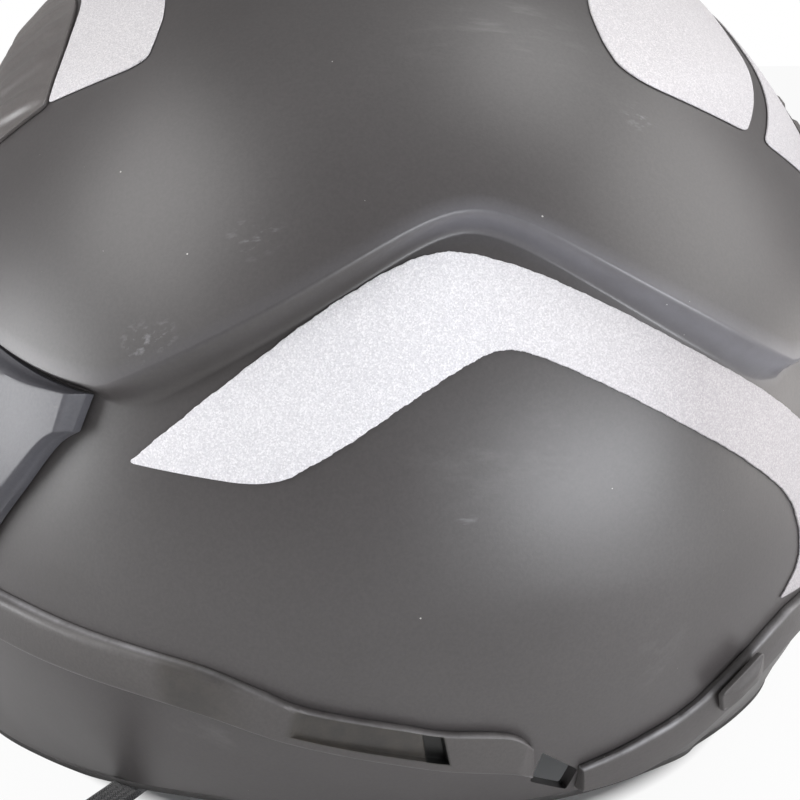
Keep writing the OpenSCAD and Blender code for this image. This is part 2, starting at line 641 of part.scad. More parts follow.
// Ratchet housing, knob and pinion
housing_az = 17;
housing_in = tail_in[0] - 1.9;
cavity_in = tail_in[0] - 0.3;
cavity_out = tail_in[1] + tail_t + 0.3;
housing_out = cavity_out + 2.4;
shaft_r = 4.6;
module ratchet_housing() {
    color(BLACK)
    in_harness()
    difference() {
        ring_arc(-housing_az, housing_az, housing_in, housing_out - housing_in, tail_h + 5);
        ring_arc(-housing_az - 1, housing_az + 1, cavity_in, cavity_out - cavity_in, tail_h + 0.6);
        translate([0, cavity_in - 0.5, 0]) rotate([-90, 0, 0])
            cylinder(r = shaft_r + pin_fit, h = 20, $fn = 48);
    }
}
module ratchet_knob() {
    color(TRIM)
    in_harness()
    rotate([-90, 0, 0]) {
        translate([0, 0, housing_out + 0.25])
        difference() {
            cylinder(d = knob_d, h = knob_t, $fn = 72);
            for (k = [0:15])
                rotate([0, 0, k * 22.5]) translate([knob_d / 2 + 0.9, 0, -1])
                    cylinder(r = 2, h = knob_t + 2, $fn = 24);
            translate([0, 0, knob_t - 1.5]) cylinder(d = knob_d - 14, h = 3, $fn = 48);
        }
        translate([0, 0, cavity_out + 0.1]) cylinder(r = shaft_r, h = housing_out - cavity_out + 0.4, $fn = 48);
    }
}
module ratchet_pinion() {
    color([0.6, 0.6, 0.62])
    in_harness()
    rotate([-90, 0, 0])
    translate([0, 0, cavity_in + 0.15]) {
        h = cavity_out - cavity_in - 0.15;
        cylinder(r = pinion_r - 1.3, h = h, $fn = 32);
        for (k = [0:8])
            rotate([0, 0, k * 40]) translate([0, -0.6, 0]) cube([pinion_r, 1.2, h]);
    }
}

// Cradle under the ratchet, with its pad
cradle_t = 1.8;
cradle_low = -28;
cradle_r = housing_in - pad_gap - cradle_t;
module nape_cradle() {
    h = tail_h / 2 - cradle_low;
    color(TRIM)
    in_harness()
        ring_arc(-24, 24, cradle_r, cradle_t, h, (tail_h / 2 + cradle_low) / 2);
}
module nape_pad() ring_pad(-21, 21, cradle_low + 1, -10, cradle_r - pad_gap - ring_r, 7);

// Crown straps, one along the head and one across under it
strap_foot = -8;
module arch(front, rear, top, width, front_foot = strap_foot) {
    az = [for (t = [-96:6:96]) t];
    function at(t, off) = [sin(t) * ((t < 0 ? front : rear) + off), cos(t) * (top + off)];
    rotate([90, 0, 90])
    translate([0, 0, -width / 2])
    linear_extrude(width)
        intersection() {
            polygon(concat([for (t = az) at(t, 0)], [for (t = reversed(az)) at(t, -web_t)]));
            union() {
                translate([-200, front_foot]) square([200, 400]);
                translate([0, strap_foot]) square([200, 400]);
            }
        }
}
module crown_strap_long() {
    color(BLACK)
    in_harness()
        arch(ring_front - 1.1, cradle_r - 1.1, crown_h, crown_strap_w, 4);
}
cross_top = crown_h - web_t - pad_gap - 0.9;
cross_r = ring_r - 1;
module crown_strap_cross() {
    color(BLACK)
    in_harness()
    rotate([0, 0, 90])
        arch(cross_r, cross_r, cross_top, crown_strap_w);
}
pad_half = 34;
module crown_pad() {
    top = cross_top - web_t - pad_gap;
    cap = function (u, v) let (x = pad_half * (2 * u - 1), y = pad_half * (1 - 2 * v))
        [x, y, top * sqrt(1 - pow(x / cross_r, 2) - pow(y / (y > 0 ? cradle_r : ring_front), 2))];
    color(PAD)
    in_harness()
        slab([for (v = pad_us) [for (u = pad_us) cap(u, v)]],
            [for (v = pad_us) [for (u = pad_us) cap(u, v) - [0, 0, 2 + 6 * crowned(u, v)]]]);
}

// Clips between the ring and the liner, and rivet heads on the straps
clip_w = 12;
clip_h = 14;
module harness_clips() {
    color(BLACK)
    for (az = [48, -48, 138, -138]) {
        off = abs(az) < 90 ? tail_in[1] + tail_t + 0.3 - ring_r : ring_t + 0.1;
        p = ring_pt(az, off + 1.2);
        up = abs(az) < 90 ? 5 : 0;
        at = [p.x, p.y * cos(harness_tilt) + harness_y, -p.y * sin(harness_tilt) + harness_level + up];
        a = atan2(at.x, at.y);
        wall = liner_point(a, at.z, true);
        reach = norm([wall.x, wall.y]) - norm([at.x, at.y]) - 3.8;
        translate([at.x, at.y, at.z + widest_z])
        rotate([0, 0, -a])
        translate([-clip_w / 2, 1, -clip_h / 2])
            cube([clip_w, reach - 1, clip_h]);
        in_harness()
        rotate([0, 0, -atan2(p.x, p.y)])
        translate([-clip_w / 2, norm(p) - 0.45, up / 2 - clip_h / 2])
            cube([clip_w, 1.9, clip_h - 2]);
    }
}
rivet_d = 7;
module harness_rivets() {
    color([0.5, 0.5, 0.52])
    in_harness() {
        for (side = [-1, 1])
            translate([side * (ring_r + ring_t + 0.05), 0, 0]) rotate([0, side * 90, 0])
                cylinder(d = rivet_d, h = 1.1, $fn = 32);
        translate([0, -ring_front - ring_t - 0.05, 8]) rotate([90, 0, 0])
            cylinder(d = rivet_d, h = 1.1, $fn = 32);
    }
}

// Webbing of the chin strap: a flat ribbon through points [x, y, z, heading of its width]
function ribbon_ring(k, i, w) =
    let (p = k[i], q = knot(k, i + 1), r = knot(k, i - 1))
    let (t = unit([q.x - r.x, q.y - r.y, q.z - r.z]), d = [cos(p[3]), sin(p[3]), 0])
    let (s = unit(d - t * (d * t)) * w / 2, n = unit(cross(t, d)) * web_t / 2, c = [p.x, p.y, p.z])
    [c + s - n, c - s - n, c - s + n, c + s + n];
module ribbon(k, w) sweep([for (i = [0:len(k) - 1]) ribbon_ring(k, i, w)], false);
function mirrored(k) = [for (q = k) [-q.x, q.y, q.z, 180 - q[3]]];

lay = web_t / 2 + 0.1;
// Where the straps are anchored inside the rim: azimuth and level
front_anchor = [112, -36];
rear_anchor = [58, -36];
nape_anchor = [37, -22];
anchor_t = 2.6;
anchor_in = shell_wall + 1.4 + anchor_t;
// A point of a strap that hangs inside the shell, at height z and in mm from its outer face
function hang(q, z, in) = let (p = surf(q.x, z - widest_z, -in)) [p.x, p.y, z, -q.x];
function strap_at(q, down = 0) = hang(q, q.y + widest_z - down, anchor_in + web_t / 2 + 1.4);
module strap_anchors() {
    color([0.5, 0.5, 0.52])
    for (q = [front_anchor, rear_anchor, [-front_anchor.x, front_anchor.y], [-rear_anchor.x, rear_anchor.y],
            nape_anchor])
        on_shell(q.x, q.y, -anchor_in)
            translate([-5, -6, 0]) cube([10, 12, anchor_t]);
}
// Triangular dividers where the branches meet, with one face square to each
fork_out = 90;
fork_back = -20;
fork_side = 72;
fork_in = 62;
fork_y = -36.5;
fork_half = 8;
fork_t = 4.4;
// A point on the floor below an anchor, r mm from the centre
function floor_at(q, r, up = 0) = [r * sin(q.x), r * cos(q.x), lay + up, -q.x];
front_route = [strap_at(front_anchor, -4), strap_at(front_anchor, 8), hang(front_anchor, 12, 7),
    hang(front_anchor, 4.6, 9), hang(front_anchor, 2.1, 11.6), floor_at(front_anchor, 97, 0.1),
    floor_at(front_anchor, fork_out + 0.05)];
rear_at = hang(rear_anchor, 2.2, 11.4);
rear_foot = norm([rear_at.x, rear_at.y]);
rear_line = [atan2(rear_at.x, rear_at.y), 0];
rear_route = [strap_at(rear_anchor, -4), strap_at(rear_anchor, 8), hang(rear_anchor, 13, 8.4),
    hang(rear_anchor, 5.4, 10), rear_at, floor_at(rear_line, rear_foot - 2, 0.5),
    floor_at(rear_line, rear_foot - 4), floor_at(rear_line, rear_foot - 6),
    [fork_side - 1.8, 39.5, lay, -36], [fork_side - 1.2, 34, lay, -16], [fork_side - 0.6, 27, lay, -4],
    [fork_side, 8, lay, 0], [fork_side, fork_back + 4, lay, 0], [fork_side, fork_back + 0.05, lay, 0]];
module chin_strap_front_left() color(BLACK) ribbon(front_route, web_w);
module chin_strap_front_right() color(BLACK) ribbon(mirrored(front_route), web_w);
module chin_strap_rear_left() color(BLACK) ribbon(rear_route, web_w);
module chin_strap_rear_right() color(BLACK) ribbon(mirrored(rear_route), web_w);
module strap_dividers() {
    p = [fork_out * sin(front_anchor.x), fork_out * cos(front_anchor.x)];
    w = fork_half * [cos(front_anchor.x), -sin(front_anchor.x)];
    color(BLACK)
    for (side = [0, 1])
        mirror([side, 0, 0])
        translate([0, 0, 0.1])
            linear_extrude(fork_t)
                polygon([[fork_in, fork_y - fork_half], [fork_in, fork_y + fork_half],
                    [fork_side - fork_half, fork_back], [fork_side + fork_half, fork_back], p - w, p + w,
                    [fork_side, fork_y - fork_half]]);
}

// Buckle on the left, with the strap laid flat in front of the ears
buckle_x = 23.5;
buckle_y = -44;
socket_in = buckle_x - buckle_l / 2;
socket_out = buckle_x + buckle_l / 2;
tongue_l = 10;
// An S-bend on the floor between two points
function bend(x0, y0, x1, y1) = [for (t = [0:0.125:1]) [mixed(x0, x1, t), mixed(y0, y1, smooth(t)), lay, 90]];
left_route = concat([[socket_out + 0.05, buckle_y, lay, 90]],
    bend(socket_out + 1.5, buckle_y, fork_in - 1.5, fork_y), [[fork_in - 0.05, fork_y, lay, 90]]);
right_route = concat([[0.05 - fork_in, fork_y, lay, 90]], bend(1.5 - fork_in, fork_y, -socket_out - 1.5, buckle_y),
    [[-30, buckle_y, lay, 90], [-16, buckle_y, lay, 90], [socket_in - tongue_l - 0.05, buckle_y, lay, 90]]);
module chin_strap_left() color(BLACK) ribbon(left_route, web_w);
module chin_strap_right() color(BLACK) ribbon(right_route, web_w);
module strap_slider() {
    wall = 2;
    color(BLACK)
    translate([-39.5, buckle_y, 0])
    rotate([90, 0, 90])
    difference() {
        translate([-web_w / 2 - wall, 0.02]) linear_extrude(6) square([web_w + 2 * wall, web_t + 1.4 + wall]);
        translate([-web_w / 2 - 0.4, -1, -1]) cube([web_w + 0.8, web_t + 1.6, 10]);
    }
}
module chin_pad() {
    size = [26, 34];
    cap = function (u, v, z) [-18.5 + size.x * (u - 0.5), buckle_y - size.y * (v - 0.5), z];
    low = lay + web_t / 2 + pad_gap;
    color(PAD)
        slab([for (v = pad_vs) [for (u = pad_us) cap(u, v, low + 2 + 6 * crowned(u, v))]],
            [for (v = pad_vs) [for (u = pad_us) cap(u, v, low)]]);
}
corner = 4;
tongue_w = 15.6;
tongue_z = [3.1, 6.1];
slot_play = 0.35;
button = [12, 10, 2];
button_bottom = tongue_z[1] + 0.3 + button_travel;
function chamfered(x, y, c) = [[-x + c, -y], [x - c, -y], [x, -y + c], [x, y - c], [x - c, y], [-x + c, y],
    [-x, y - c], [-x, -y + c]];
module buckle_socket() {
    color(BLACK)
    translate([buckle_x, buckle_y, 0.1])
    difference() {
        linear_extrude(buckle_t) polygon(chamfered(buckle_l / 2, buckle_w / 2, corner));
        translate([-buckle_l / 2 - 1, -tongue_w / 2 - slot_play, tongue_z[0] - slot_play - 0.1])
            cube([buckle_l - 8, tongue_w + 2 * slot_play, tongue_z[1] - tongue_z[0] + 2 * slot_play]);
        translate([-button.x / 2 - 0.2, -button.y / 2 - 0.2, tongue_z[1] - 1])
            cube([button.x + 0.4, button.y + 0.4, buckle_t]);
    }
}
module buckle_tongue() {
    color(BLACK) {
        translate([socket_in - tongue_l / 2, buckle_y, 0.1])
            linear_extrude(buckle_t - 1) polygon(chamfered(tongue_l / 2 - 0.05, buckle_w / 2, 3));
        translate([socket_in - 1, buckle_y - tongue_w / 2, tongue_z[0]])
            cube([buckle_l - 10, tongue_w, tongue_z[1] - tongue_z[0]]);
    }
}
module buckle_button() {
    color([0.75, 0.12, 0.08])
    translate([buckle_x - button.x / 2, buckle_y - button.y / 2, button_bottom])
        cube(button);
}

// Narrow nape strap: down the inside of the rim at the left rear and out over the floor
nape_strap_w = 9;
nape_reach = 79.5;
nape_foot = hang(nape_anchor, 3.6, 5.6);
nape_route = concat([strap_at(nape_anchor, -4), strap_at(nape_anchor, 6), hang(nape_anchor, 26, 7.2),
    hang(nape_anchor, 17, 8), hang(nape_anchor, 9.5, 9), hang(nape_anchor, 6, 8)],
    [for (q = [[0, nape_foot.z], [4, 1.9], [10, lay], [28, lay], [45, lay], [62, lay], [nape_reach, lay]])
        let (r = norm([nape_foot.x, nape_foot.y]) + q.x)
        [r * sin(nape_anchor.x), r * cos(nape_anchor.x), q.y, -nape_anchor.x]]);
module nape_strap() color(BLACK) ribbon(nape_route, nape_strap_w);

outer_shell();
rim_seal();
nape_band_left();
nape_band_right();
band_clip();
rear_chevron();
crown_panel_left();
crown_panel_right();
side_panel_right();
rib_plate_left();
rib_plate_right();
badge_plate();
side_cover_left();
side_cover_right();
pivot_pin_left();
pivot_pin_right();
cover_screws();
face_shield();
shield_grip();
impact_liner();
side_pad_left();
side_pad_right();
head_band();
brow_pad();
rack_tail_left();
rack_tail_right();
ratchet_housing();
ratchet_knob();
ratchet_pinion();
nape_cradle();
nape_pad();
crown_strap_long();
crown_strap_cross();
crown_pad();
harness_clips();
harness_rivets();
strap_anchors();
nape_strap();
chin_strap_front_left();
chin_strap_front_right();
chin_strap_rear_left();
chin_strap_rear_right();
strap_dividers();
chin_strap_left();
chin_strap_right();
strap_slider();
chin_pad();
buckle_socket();
buckle_tongue();
buckle_button();
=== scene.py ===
"""A full-shell rescue helmet seen from behind: matt shell, reflective sheet, nape bands, side covers,
face shield, liner, head harness and chin strap. Shapes are worked out in millimetres and laid down in metres.
Places on the shell are an azimuth, in degrees from the middle of the rear toward the wearer's left, and a
level, in millimetres above the widest part of the shell."""
import math
import bpy
import numpy as np
from mathutils import Matrix, Vector


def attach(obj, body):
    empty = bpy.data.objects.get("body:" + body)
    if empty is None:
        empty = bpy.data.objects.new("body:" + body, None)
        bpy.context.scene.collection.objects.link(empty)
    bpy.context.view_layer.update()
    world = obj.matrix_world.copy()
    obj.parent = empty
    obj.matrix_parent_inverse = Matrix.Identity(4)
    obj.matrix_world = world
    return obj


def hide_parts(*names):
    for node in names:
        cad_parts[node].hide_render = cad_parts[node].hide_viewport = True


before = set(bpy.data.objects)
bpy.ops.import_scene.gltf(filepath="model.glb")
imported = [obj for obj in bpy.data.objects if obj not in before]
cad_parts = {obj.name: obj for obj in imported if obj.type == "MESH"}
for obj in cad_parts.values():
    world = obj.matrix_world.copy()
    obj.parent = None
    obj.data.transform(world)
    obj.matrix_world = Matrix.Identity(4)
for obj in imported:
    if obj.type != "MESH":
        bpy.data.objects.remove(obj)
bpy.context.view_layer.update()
bpy.ops.object.select_all(action="DESELECT")
MM = 0.001

# Shell sizes, as in the part's source
shell_w, rear_len, front_len, dome_h, widest_z = 250.0, 145.0, 152.0, 146.0, 68.0
shell_wall, plan_power, dome_power, tuck, rear_tuck = 3.6, 2.12, 2.05, 0.08, 0.18
step_depth, step_top, brow_level, rear_arch = 5.5, 75.2, 48.0, 13.0
bead_h, bead_w, band_t, notch_w, glue = 1.6, 3.4, 3.6, 10.6, 0.3
left_tail, right_tail, cover_t, cap_d = 31.4, 50.0, 3.3, 34.0
pivot_y, pivot_level = 10.0, 5.0
# Heights above the shell of the back of what is glued to it, and of the sheets' faces
seat, sheet_face = 0.06, 0.5


# The shell's surface
def sin(a):
    return np.sin(np.radians(a))


def cos(a):
    return np.cos(np.radians(a))


def smooth(t):
    u = np.clip(t, 0, 1)
    return u * u * (3 - 2 * u)


def mixed(p, q, t):
    return p * (1 - t) + q * t


def turn(a):
    """How far an azimuth is from the middle of the rear, whichever way round."""
    return np.abs((a + 180) % 360 - 180)


def unit(v):
    return v / np.maximum(np.linalg.norm(v, axis=-1, keepdims=True), 1e-9)


def points(x, y, z):
    return np.stack(np.broadcast_arrays(x, y, z), -1).astype(float)


def step_z(a):
    """Level of the top of the step moulded into the shell's rear, a chevron with a rounded tip."""
    u = turn(a + 1.6)
    k = np.minimum(u, 31)
    return step_top - 1.69 * (np.sqrt(k * k + 36) - 6) + 0.01 * k * k + 11 * smooth((u - 31) / 28)


def step_run(a):
    u = turn(a + 1.6)
    return mixed(5.5 + 0.1 * u, 3, smooth((u - 26) / 8))


def step_fade(a):
    return 1 - smooth((turn(a) - 60) / 35)


def drop(a, z):
    """How far the shell goes in below the step."""
    return step_depth * step_fade(a) * smooth((step_z(a) - z) / step_run(a))


def plan_r(a):
    length = np.where(cos(a) > 0, rear_len, front_len)
    across, along_head = np.abs(sin(a)) / (shell_w / 2), np.abs(cos(a)) / length
    return (across ** plan_power + along_head ** plan_power) ** (-1 / plan_power)


def full_r(a, z):
    dome = (1 - np.minimum(np.maximum(z, 0) / dome_h, 1) ** dome_power) ** (1 / dome_power)
    share = mixed(rear_tuck, tuck, smooth((turn(a) - 40) / 40))
    return plan_r(a) * dome * (1 - share * (np.maximum(4 - z, 0) / 60) ** 2)


def shell_normal(p):
    """Outward direction at a point of the shell, whose height is counted from the widest level."""
    length = np.where(p[..., 1] > 0, rear_len, front_len)
    x, y, z = p[..., 0] / (shell_w / 2) ** 2, p[..., 1] / length ** 2, np.maximum(p[..., 2], 0) / dome_h ** 2
    return unit(points(x, y, z))


def surf(a, z, off=0.0):
    """The point at this azimuth and level, off millimetres outside the shell's face."""
    r = full_r(a, z) - drop(a, z)
    p = points(r * sin(a), r * cos(a), z)
    return p + np.asarray(off, float)[..., None] * shell_normal(p) + np.array([0, 0, widest_z])


def rim_z(a):
    t = turn(a)
    arch = rear_arch * (1 - smooth((t - 24) / 30))
    return -widest_z + arch + (brow_level + widest_z) * smooth((t - 112) / 22)


def edge_z(a):
    return rim_z(a) + bead_h


def along(k, t):
    """A smooth curve through knots, for t from 0 to 1."""
    k = np.array(k, float)
    n = len(k) - 1
    s = np.minimum(np.floor(t * n).astype(int), n - 1)
    f = (t * n - s)[..., None]
    p, q, r, w = (k[np.clip(s + i, 0, n)] for i in (-1, 0, 1, 2))
    return q + 0.5 * f * ((r - p) + f * ((2 * p - 5 * q + 4 * r - w) + f * (3 * (q - r) + w - p)))


# Making pieces
def added_grid(name, nu, nv, thick):
    """A flat grid one unit wide, given a second layer one unit above when the piece has a thickness."""
    bpy.ops.mesh.primitive_grid_add(x_subdivisions=nu, y_subdivisions=nv, size=1)
    o = bpy.context.object
    o.name = o.data.name = name
    if thick:
        bpy.ops.object.mode_set(mode="EDIT")
        bpy.ops.mesh.select_all(action="SELECT")
        bpy.ops.mesh.extrude_region_move(TRANSFORM_OT_translate={"value": (0, 0, 1)})
        bpy.ops.object.mode_set(mode="OBJECT")
    return o


def read_points(o):
    co = np.empty(len(o.data.vertices) * 3, np.float64)
    o.data.vertices.foreach_get("co", co)
    return co.reshape(-1, 3)


def set_points(o, p):
    o.data.vertices.foreach_set("co", np.ascontiguousarray(p, np.float64).ravel())
    o.data.update()


def keep_mark(o, name, values):
    o.data.attributes.new(name, "FLOAT", "POINT").data.foreach_set("value", np.asarray(values, np.float32))


def laid(o, place, size=None, us=None, vs=None, marks=None):
    """Lays the grid's points at place(u, v, w), and keeps u and v in millimetres of size as its UV map.
    marks holds named functions of u and v whose values are kept on the mesh for the material."""
    co = read_points(o)
    u, v, w = np.clip(co[:, 0] + 0.5, 0, 1), np.clip(co[:, 1] + 0.5, 0, 1), np.clip(co[:, 2], 0, 1)
    if us is not None:
        u = np.interp(u, np.linspace(0, 1, len(us)), us)
    if vs is not None:
        v = np.interp(v, np.linspace(0, 1, len(vs)), vs)
    if size:
        uv = (o.data.uv_layers.active or o.data.uv_layers.new(name="UVMap")).data
        idx = np.empty(len(o.data.loops), np.int32)
        o.data.loops.foreach_get("vertex_index", idx)
        uv.foreach_set("uv", np.stack([u[idx] * size[0], v[idx] * size[1]], -1).astype(np.float32).ravel())
    for name, share in (marks or {}).items():
        keep_mark(o, name, share(u, v))
    set_points(o, place(u, v, w) * MM)
    return o


def cleaned(o, merge=1e-6):
    """Merges doubles and turns all faces outwards."""
    active(o)
    bpy.ops.object.mode_set(mode="EDIT")
    bpy.ops.mesh.select_all(action="SELECT")
    bpy.ops.mesh.remove_doubles(threshold=merge)
    bpy.ops.mesh.dissolve_degenerate(threshold=1e-7)
    bpy.ops.mesh.select_all(action="SELECT")
    bpy.ops.mesh.normals_make_consistent(inside=False)
    bpy.ops.object.mode_set(mode="OBJECT")
    return o


def active(o):
    bpy.ops.object.select_all(action="DESELECT")
    o.select_set(True)
    bpy.context.view_layer.objects.active = o


def modified(o, kind, **settings):
    active(o)
    m = o.modifiers.new(kind.lower(), kind)
    for key, value in settings.items():
        setattr(m, key, value)
    bpy.ops.object.modifier_apply(modifier=m.name)
    return o


def rounded(o, width, angle=40, segments=2):
    """Rounds the sharp edges by width in millimetres and shades the rest smooth."""
    modified(o, "BEVEL", width=width * MM, segments=segments, limit_method="ANGLE",
             angle_limit=math.radians(angle))
    return shaded(o)


def shaded(o, angle=38):
    active(o)
    bpy.ops.object.shade_smooth_by_angle(angle=math.radians(angle))
    return o


def finished(o, material, body="helmet", nodes=(), slot=None):
    """Gives a piece its material, its body, and the CAD nodes that it stands for."""
    o.data.materials.clear()
    o.data.materials.append(material)
    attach(o, body)
    if nodes:
        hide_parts(*([nodes] if isinstance(nodes, str) else nodes))
    return o


def softened(name, node, width, angle=30, segments=2):
    """A hard CAD node again, with its edges rounded by width in millimetres."""
    o = bpy.data.objects.new(name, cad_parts[node].data.copy())
    bpy.context.scene.collection.objects.link(o)
    cleaned(o, 1e-5)
    bpy.ops.object.mode_set(mode="EDIT")
    bpy.ops.mesh.select_all(action="SELECT")
    bpy.ops.mesh.dissolve_limited(angle_limit=math.radians(0.6))
    bpy.ops.object.mode_set(mode="OBJECT")
    return rounded(o, width, angle, segments)


def corner_round(u, v, length, width, radius):
    """Draws the corners of the unit square in, so that the piece's outline turns with this radius.
    Three radii are those of the end of the lower outline, the start of the upper one, and the other corners."""
    x, y = (u - 0.5) * length, (v - 0.5) * width
    end, start, rest = np.minimum(radius if isinstance(radius, tuple) else (radius,) * 3, width * 0.49)
    radius = np.where((x > 0) & (y < 0), end, np.where((x < 0) & (y > 0), start, rest))
    dx, dy = np.abs(x) - (length / 2 - radius), np.abs(y) - (width / 2 - radius)
    both = (dx > 0) & (dy > 0)
    k = np.where(both, np.maximum(dx, dy) / np.maximum(np.hypot(dx, dy), 1e-9), 1)
    x = np.where(both, np.sign(x) * (length / 2 - radius + dx * k), x)
    y = np.where(both, np.sign(y) * (width / 2 - radius + dy * k), y)
    return x / length + 0.5, y / width + 0.5


def span(low, up, side):
    """Rough length and width of an outline, in millimetres."""
    t = np.linspace(0, 1, 60)
    lo, hi = along(low, t), along(up, t)
    mid = mixed(lo, hi, 0.5)
    p = surf(side * mid[:, 0], mid[:, 1])
    a, b = surf(side * lo[:, 0], lo[:, 1]), surf(side * hi[:, 0], hi[:, 1])
    length = np.linalg.norm(np.diff(p, axis=0), axis=1).sum()
    return float(length), float(np.linalg.norm(a - b, axis=1).mean())


def applied(name, low, up, nu, nv, under, over, side=1, corner=0, us=None, vs=None, ragged=0.0, marks=None):
    """A piece laid on the shell between a lower and an upper outline, under and over giving its two faces."""
    if us is not None:
        nu = len(us) - 1
    if vs is not None:
        nv = len(vs) - 1
    length, width = span(low, up, side)
    o = added_grid(name, nu, nv, True)

    def place(u, v, w):
        s, t = corner_round(u, v, length, width, corner) if corner else (u, v)
        if ragged:
            x = s * length
            wob = 0.6 * np.sin(x * 0.9) + 0.5 * np.sin(x * 2.3 + 1) + 0.4 * np.sin(x * 5.1 + 2)
            t = t + (t - 0.5) * np.abs(2 * t - 1) ** 6 * wob * ragged / width
        q = mixed(along(low, s), along(up, s), t[..., None])
        a, z = side * q[..., 0], q[..., 1]
        return surf(a, z, mixed(under(a, z, s, t), over(a, z, s, t), w))

    laid(o, place, (length, width), us, vs, marks)
    return cleaned(o)


def rim_share(u, v, eu, ev):
    """Rises from 0 at the border to 1 at the shares eu and ev inside it."""
    return np.minimum(1, np.minimum(np.minimum(u, 1 - u) / eu, np.minimum(v, 1 - v) / ev))


def flat(off):
    """A face that stays at one height above the shell, for applied."""
    return lambda a, z, u, v: off + 0 * u


def ring_piece(name, nu, nv, place, size=None, us=None, vs=None):
    """A piece turned right round the helmet: u runs round it and v along its profile."""
    return cleaned(laid(added_grid(name, nu, nv, False), place, size, us, vs), 2e-5)


# Node-building helpers
def put(tree, kind, sockets=None, **settings):
    """Adds a node, sets its choices, and sets or links its sockets."""
    n = tree.nodes.new(kind)
    for key, value in settings.items():
        setattr(n, key, value)
    for key, value in (sockets or {}).items():
        if isinstance(value, bpy.types.NodeSocket):
            tree.links.new(value, n.inputs[key])
        else:
            n.inputs[key].default_value = value
    return n


def maths(tree, op, a, b=0.5, clamp=False):
    return put(tree, "ShaderNodeMath", {0: a, 1: b}, operation=op, use_clamp=clamp).outputs[0]


def between(tree, value, low, high, to_low=0.0, to_high=1.0):
    """The value's share of the way from low to high, kept within the two results."""
    return put(tree, "ShaderNodeMapRange", {"Value": value, "From Min": low, "From Max": high,
                                            "To Min": to_low, "To Max": to_high}).outputs["Result"]


def blended(tree, share, a, b, mode="MIX"):
    """Two colours mixed. The node's sockets 0, 6 and 7 are its share and its two colours."""
    return put(tree, "ShaderNodeMix", {0: share, 6: a, 7: b}, data_type="RGBA", blend_type=mode).outputs[2]


def toned(tree, share, base, tint):
    """The base colour, multiplied by the tint where the share is 1."""
    return blended(tree, share, base, blended(tree, 1.0, base, tint + (1,), "MULTIPLY"))


def colour(r, g, b):
    """A colour as it looks on a screen, from 0 to 255, as the shader takes it."""
    return tuple(((c / 255 + 0.055) / 1.055) ** 2.4 if c > 10 else c / 255 / 12.92 for c in (r, g, b)) + (1.0,)


def noise(tree, at, scale, detail=3.0, rough=0.5):
    return put(tree, "ShaderNodeTexNoise", {"Vector": at, "Scale": scale, "Detail": detail,
                                            "Roughness": rough}).outputs["Fac"]


def stretched(tree, at, scale, rotation=(0, 0, 0)):
    """The place turned and scaled, so that a pattern on it becomes streaks."""
    n = put(tree, "ShaderNodeMapping", {"Vector": at, "Scale": scale, "Rotation": rotation})
    return n.outputs["Vector"]


def group(name, inputs, outputs):
    """A new node group. Each of its inputs is a name, kind and value, and each output a name and kind."""
    g = bpy.data.node_groups.new(name, "ShaderNodeTree")
    for label, kind, value in inputs:
        s = g.interface.new_socket(name=label, in_out="INPUT", socket_type="NodeSocket" + kind)
        if value is not None:
            s.default_value = value
    for label, kind in outputs:
        g.interface.new_socket(name=label, in_out="OUTPUT", socket_type="NodeSocket" + kind)
    return g, g.nodes.new("NodeGroupInput").outputs, g.nodes.new("NodeGroupOutput").inputs


def use(tree, made, at, **sockets):
    """Places a node group in a material, read at this place and with these values, and gives its outputs."""
    n = put(tree, "ShaderNodeGroup", node_tree=made)
    tree.links.new(at, n.inputs[0])
    for key, value in sockets.items():
        n.inputs[key.replace("_", " ")].default_value = value
    return n.outputs


def mottle_group():
    """Broad soft unevenness of a moulded or painted surface, and its fine grain."""
    g, i, o = group("surface_mottle", [("Vector", "Vector", None), ("Cloud Scale", "Float", 14.0),
                                       ("Grain Scale", "Float", 1400.0)],
                    [("Cloud", "Float"), ("Grain", "Float"), ("Orange Peel", "Float")])
    g.links.new(noise(g, i["Vector"], i["Cloud Scale"], 4.0, 0.55), o["Cloud"])
    g.links.new(noise(g, i["Vector"], i["Grain Scale"], 2.0, 0.7), o["Grain"])
    g.links.new(noise(g, i["Vector"], 420.0, 2.0, 0.5), o["Orange Peel"])
    return g


def dust_group():
    """Sparse pale specks of dust, gathered in patches."""
    g, i, o = group("dust_specks", [("Vector", "Vector", None), ("Scale", "Float", 240.0),
                                    ("Amount", "Float", 0.5)], [("Mask", "Float")])
    cell = put(g, "ShaderNodeTexVoronoi", {"Vector": i["Vector"], "Scale": i["Scale"], "Randomness": 1.0})
    size = put(g, "ShaderNodeSeparateColor", {"Color": cell.outputs["Color"]})
    reach = maths(g, "MULTIPLY", maths(g, "POWER", size.outputs["Red"], 4.0), 0.075)
    patch = between(g, noise(g, i["Vector"], 22.0, 2.0), 0.42, 0.7, 0.25, 1.0)
    near = maths(g, "LESS_THAN", cell.outputs["Distance"], maths(g, "MULTIPLY", reach, patch))
    g.links.new(maths(g, "MULTIPLY", near, i["Amount"]), o["Mask"])
    return g


def scuff_group():
    """Rubbed whitish streaks in a few places."""
    g, i, o = group("rub_marks", [("Vector", "Vector", None), ("Amount", "Float", 0.5)], [("Mask", "Float")])
    spot = between(g, noise(g, i["Vector"], 16.0, 1.0), 0.62, 0.74)
    turned = stretched(g, i["Vector"], (60, 420, 190), (0.5, 0.3, 0.9))
    streak = between(g, noise(g, turned, 1.0, 4.0, 0.65), 0.5, 0.72)
    g.links.new(maths(g, "MULTIPLY", maths(g, "MULTIPLY", spot, streak), i["Amount"]), o["Mask"])
    return g


